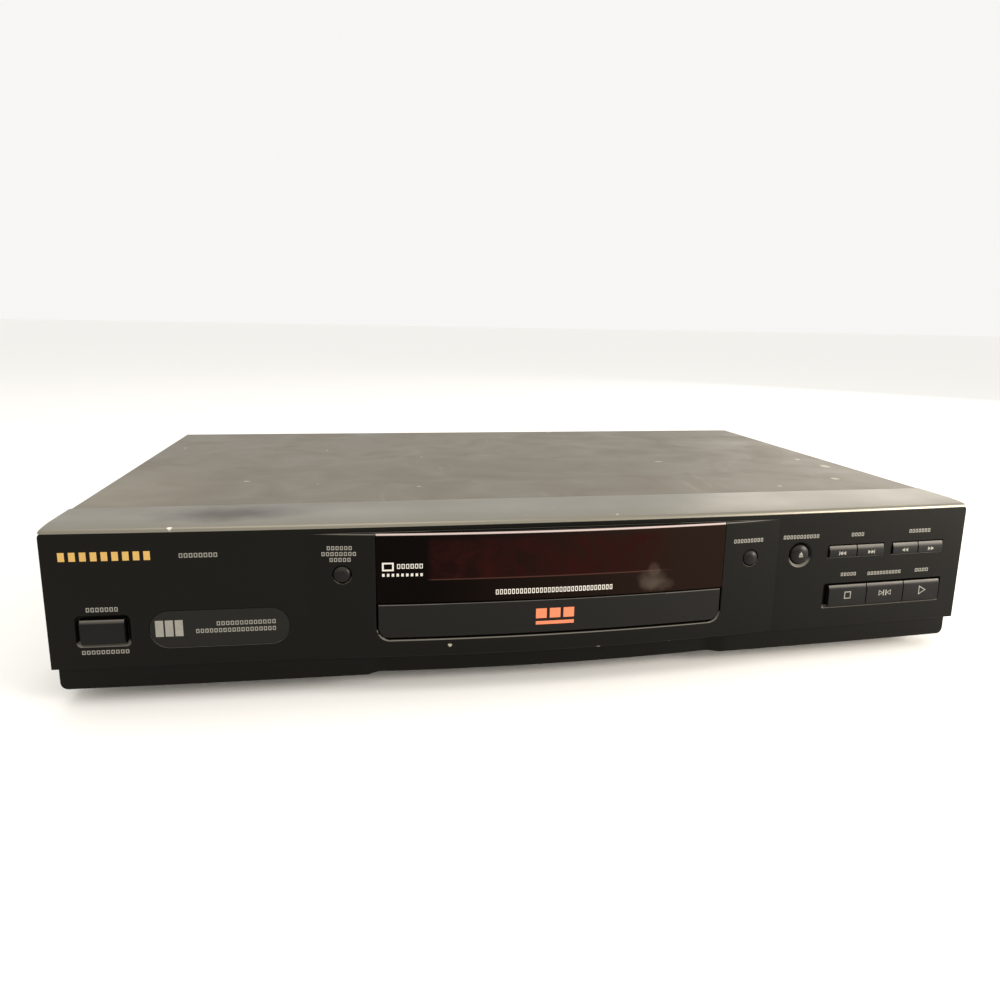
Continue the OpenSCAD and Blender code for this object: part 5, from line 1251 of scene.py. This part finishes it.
def cover_screws():
    """The six screws that hold the cover, all copies of one. Those in the sides have flatter heads."""
    first = pan_screw()
    places = [((side * COVER_HIGH.x, y, SIDE_SCREW_Z), side * math.pi / 2, 0.5)
              for side in (-1, 1) for y in SIDE_SCREW_Y]
    places += [((side * REAR_SCREW_X, COVER_HIGH.y, REAR_SCREW_Z), math.pi, 1.0) for side in (-1, 1)]
    screws = []
    for place, angle, height in places:
        turn = Matrix.Rotation(angle, 4, "Z") @ Matrix.Diagonal((1, height, 1, 1))
        screw = first.copy()
        screw.data = first.data.copy()
        screw.data.transform(Matrix.Translation(place) @ turn)
        bpy.context.collection.objects.link(screw)
        screws.append(screw)
    bpy.data.objects.remove(first)
    piece = joined("cover_pan_screws", screws)
    return finish(piece, solid_finish("screw_steel"), "case", "screw_steel", "cover_screws", smooth=40)


# Places of the captions in millimetres: left, right, lower and upper
PANEL_CAPTIONS = [(-161.0, -145.8, 65.4, 67.3), (-199.1, -186.7, 42.8, 44.7), (-202.2, -183.6, 24.1, 25.8),
                  (112.4, 131.4, 64.1, 65.9), (149.5, 156.3, 64.0, 65.8), (182.4, 194.6, 64.4, 66.2),
                  (145.8, 154.2, 43.8, 45.5), (161.0, 180.0, 43.5, 45.2), (188.6, 196.3, 43.7, 45.4)]
RAISED_CAPTIONS = [(-101.0, -90.6, 67.2, 68.9), (-103.3, -88.9, 64.6, 66.3), (-100.0, -91.2, 62.0, 63.7),
                   (85.5, 101.0, 63.8, 65.6)]


def panel_marks():
    """The small printed marks on the panel, its raised section, the window, the badge and the door."""
    mark("gold_band", [bar_row(-207.9, -172.3, 64.8, 68.6, 9, 1.6)], on_wide, gold_foil(), "fascia_black")
    shapes = [caption(*place) for place in PANEL_CAPTIONS]
    mark("panel_captions", shapes, on_wide, grey_ink(), "fascia_black")
    shapes = [caption(*place) for place in RAISED_CAPTIONS]
    mark("raised_captions", shapes, on_raised, grey_ink(), "fascia_black")
    shapes = [bar_row(-78.0, -73.0, 57.5, 61.3, line=0.7), caption(-71.6, -60.6, 58.5, 60.6),
              bar_row(-78.0, -60.6, 55.0, 56.3, 9, 1.0), caption(-28.5, 25.3, 45.5, 47.8)]
    mark("window_marks", shapes, on_raised, white_ink(), "window_smoke")
    shapes = [bar_row(-172.5, -161.4, 30.8, 38.0, 3, 0.7), caption(-147.7, -123.5, 35.0, 36.8),
              caption(-156.2, -123.5, 31.9, 33.7)]
    mark("badge_marks", shapes, on_wide, grey_ink(), "badge_grey")
    shapes = [bar_row(-10.1, 7.6, 33.4, 38.0, 3, 1.4), bar_row(-10.1, 7.6, 30.4, 32.0)]
    mark("door_mark", shapes, on_raised, orange_ink(), "door_grey", "tray")


# Outer radius of a phono sleeve, and the distance between two
PHONO_RADIUS = 4.15 * MM
PHONO_PITCH = 14 * MM


def rear_marks():
    """A line and captions printed on the rear panel, over its sockets."""
    low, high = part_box("phono_sleeves")
    shapes = [flat_bar(low.x - 2 * MM, high.x + 2 * MM, high.z + 3 * MM, high.z + 3.3 * MM)]
    captions = []
    for place in range(3):
        x = low.x + PHONO_RADIUS + place * PHONO_PITCH
        captions.append((x - 3 * MM, x + 3 * MM, high.z + 5 * MM, 4))
    for node, rise, count in (("video_socket", 3 * MM, 7), ("mains_inlet", 4 * MM, 9)):
        low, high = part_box(node)
        captions.append((low.x, high.x, high.z + rise, count))
    shapes += [flat_bar(x0, x1, z, z + 1.4 * MM, count, 0.6 * MM) for x0, x1, z, count in captions]
    piece = joined("rear_marks", shapes)
    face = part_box("rear_panel")[1].y + sizes().ink
    for point in piece.data.vertices:
        point.co.y = face
    finish(inked(piece, 1), grey_ink(), "case", "rear_black")


# ---- The solids that stay ----

# Solids whose edges are softened, and by how much
SHARP_NODES = ["disc_tray", "loader_frame", "clamp_bridge", "phono_block", "video_socket", "digital_socket",
               "mains_inlet", "phono_sleeves", "bottom_chassis", "traverse_frame", "pickup_sled"]
SOLID_EDGE = 0.2 * MM


def dress_solids():
    """Gives every solid that is shown its finish, and softens the edges of the larger ones."""
    for name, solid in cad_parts.items():
        slot = solid.data.materials[0].name
        if slot in SOLID_FINISHES:
            solid.data.materials[0] = solid_finish(slot)
        if name in SHARP_NODES:
            weld = solid.modifiers.new("Weld", "WELD")
            weld.merge_threshold = CLOSE / 2
            bevel = solid.modifiers.new("Bevel", "BEVEL")
            bevel.width = SOLID_EDGE
            bevel.segments = 2
            bevel.limit_method = "ANGLE"
            bevel.angle_limit = math.radians(40)
            bevel.harden_normals = True


# ---- Stage ----

# The camera: its place in millimetres, its turns in degrees, and its lens and sensor in millimetres
CAMERA_PLACE = Vector((-83.72, -459.63, 162.68)) * MM
CAMERA_PITCH, CAMERA_YAW, CAMERA_ROLL = -11.776, -10.915, 1.054
CAMERA_LENS, SENSOR = 27.48, 36.0
CAMERA_SHIFT = (-0.01076, -0.01619)


def add_camera():
    """The camera, turned by pitch and yaw and rolled about its own axis."""
    pitch, yaw, roll = (math.radians(angle) for angle in (CAMERA_PITCH, CAMERA_YAW, CAMERA_ROLL))
    ahead = Vector((-math.sin(yaw) * math.cos(pitch), math.cos(yaw) * math.cos(pitch), math.sin(pitch)))
    right = Vector((math.cos(yaw), math.sin(yaw), 0))
    up = right.cross(ahead)
    turned_right = right * math.cos(roll) + up * math.sin(roll)
    turned_up = up * math.cos(roll) - right * math.sin(roll)
    select()
    bpy.ops.object.camera_add()
    camera = bpy.context.object
    turn = Matrix((turned_right, turned_up, -ahead)).transposed().to_4x4()
    camera.matrix_world = Matrix.Translation(CAMERA_PLACE) @ turn
    camera.data.lens = CAMERA_LENS
    camera.data.sensor_width = SENSOR
    camera.data.shift_x, camera.data.shift_y = CAMERA_SHIFT
    camera.data.clip_start = 0.01
    bpy.context.scene.camera = camera


def soft_light(name, place, target, width, height, power, tint):
    """A rectangular studio light that faces a point."""
    select()
    bpy.ops.object.light_add(type="AREA", location=place)
    light = bpy.context.object
    light.name = name
    light.data.shape = "RECTANGLE"
    light.data.size, light.data.size_y = width, height
    light.data.energy = power
    light.data.color = linear(tint)[:3]
    light.rotation_euler = (Vector(target) - Vector(place)).to_track_quat("-Z", "Y").to_euler()


def add_stage():
    """Floor, soft lights, plain surroundings and the camera."""
    scene = bpy.context.scene
    select()
    bpy.ops.mesh.primitive_plane_add(size=80.0, location=(0, 0, 0))
    floor = settle("studio_floor")
    floor.data.materials.append(backdrop_paper())
    world = bpy.data.worlds.new("studio")
    scene.world = world
    world.use_nodes = True
    sky = world.node_tree.nodes["Background"].inputs
    sky["Color"].default_value = linear("#fdfcfa")
    sky["Strength"].default_value = 0.95
    soft_light("overhead_softbox", (-0.2, -0.1, 1.3), (0, -0.1, 0.05), 1.2, 0.8, 6, "#fffaf2")
    soft_light("right_softbox", (0.85, -0.65, 0.3), (0.2, -0.14, 0.04), 0.5, 0.4, 14, "#fff6ea")
    soft_light("back_right_softbox", (1.35, 1.1, 0.55), (0.15, 0, 0.08), 1.3, 0.7, 3.8, "#fff6e8")
    scene.view_settings.view_transform = "Standard"
    add_camera()


# ---- Operators and panel ----


class PLAYER_OT_stage(bpy.types.Operator):
    """Add the floor, the soft lights and the camera"""

    bl_idname = "player.stage"
    bl_label = "Stage"

    def execute(self, context):
        add_stage()
        return {"FINISHED"}


class PLAYER_OT_solids(bpy.types.Operator):
    """Give the solids that stay their finishes and soften their edges"""

    bl_idname = "player.solids"
    bl_label = "Solids"

    def execute(self, context):
        dress_solids()
        return {"FINISHED"}


class PLAYER_OT_front_panel(bpy.types.Operator):
    """Model the moulded front panel and its badge plate"""

    bl_idname = "player.front_panel"
    bl_label = "Front panel"

    def execute(self, context):
        fascia()
        badge_plate()
        return {"FINISHED"}


class PLAYER_OT_trim(bpy.types.Operator):
    """Model the silver trim band"""

    bl_idname = "player.trim"
    bl_label = "Trim band"

    def execute(self, context):
        trim_band()
        return {"FINISHED"}


class PLAYER_OT_cover(bpy.types.Operator):
    """Model the folded steel cover and its screws"""

    bl_idname = "player.cover"
    bl_label = "Cover"

    def execute(self, context):
        cover()
        cover_screws()
        return {"FINISHED"}


class PLAYER_OT_window(bpy.types.Operator):
    """Model the display window"""

    bl_idname = "player.window"
    bl_label = "Window"

    def execute(self, context):
        window()
        return {"FINISHED"}


class PLAYER_OT_door(bpy.types.Operator):
    """Model the door on the tray"""

    bl_idname = "player.door"
    bl_label = "Tray door"

    def execute(self, context):
        tray_front()
        return {"FINISHED"}


class PLAYER_OT_buttons(bpy.types.Operator):
    """Model the square and the round buttons"""

    bl_idname = "player.buttons"
    bl_label = "Buttons"

    def execute(self, context):
        for name in SQUARE_BUTTONS:
            square_button(name)
        for name in ROUND_BUTTONS:
            round_button(name)
        return {"FINISHED"}


class PLAYER_OT_marks(bpy.types.Operator):
    """Print the small marks on the front and the rear"""

    bl_idname = "player.marks"
    bl_label = "Printed marks"

    def execute(self, context):
        panel_marks()
        rear_marks()
        return {"FINISHED"}


STEPS = (PLAYER_OT_stage, PLAYER_OT_solids, PLAYER_OT_front_panel, PLAYER_OT_trim, PLAYER_OT_cover,
         PLAYER_OT_window, PLAYER_OT_door, PLAYER_OT_buttons, PLAYER_OT_marks)


class PLAYER_PT_pieces(bpy.types.Panel):
    """Lists the pieces of the player"""

    bl_label = "Disc player"
    bl_idname = "PLAYER_PT_pieces"
    bl_space_type = "VIEW_3D"
    bl_region_type = "UI"
    bl_category = "Disc player"

    def draw(self, context):
        for step in STEPS:
            self.layout.operator(step.bl_idname)


CLASSES = (PlayerSizes, PlayerColours, *STEPS, PLAYER_PT_pieces)


def register():
    for item in CLASSES:
        bpy.utils.register_class(item)
    bpy.types.Scene.player_sizes = PointerProperty(type=PlayerSizes)
    bpy.types.Scene.player_colours = PointerProperty(type=PlayerColours)


def unregister():
    del bpy.types.Scene.player_colours
    del bpy.types.Scene.player_sizes
    for item in reversed(CLASSES):
        bpy.utils.unregister_class(item)


def main():
    register()
    bpy.ops.player.stage()
    bpy.ops.player.solids()
    bpy.ops.player.front_panel()
    bpy.ops.player.trim()
    bpy.ops.player.cover()
    bpy.ops.player.window()
    bpy.ops.player.door()
    bpy.ops.player.buttons()
    bpy.ops.player.marks()


if __name__ == "__main__":
    main()
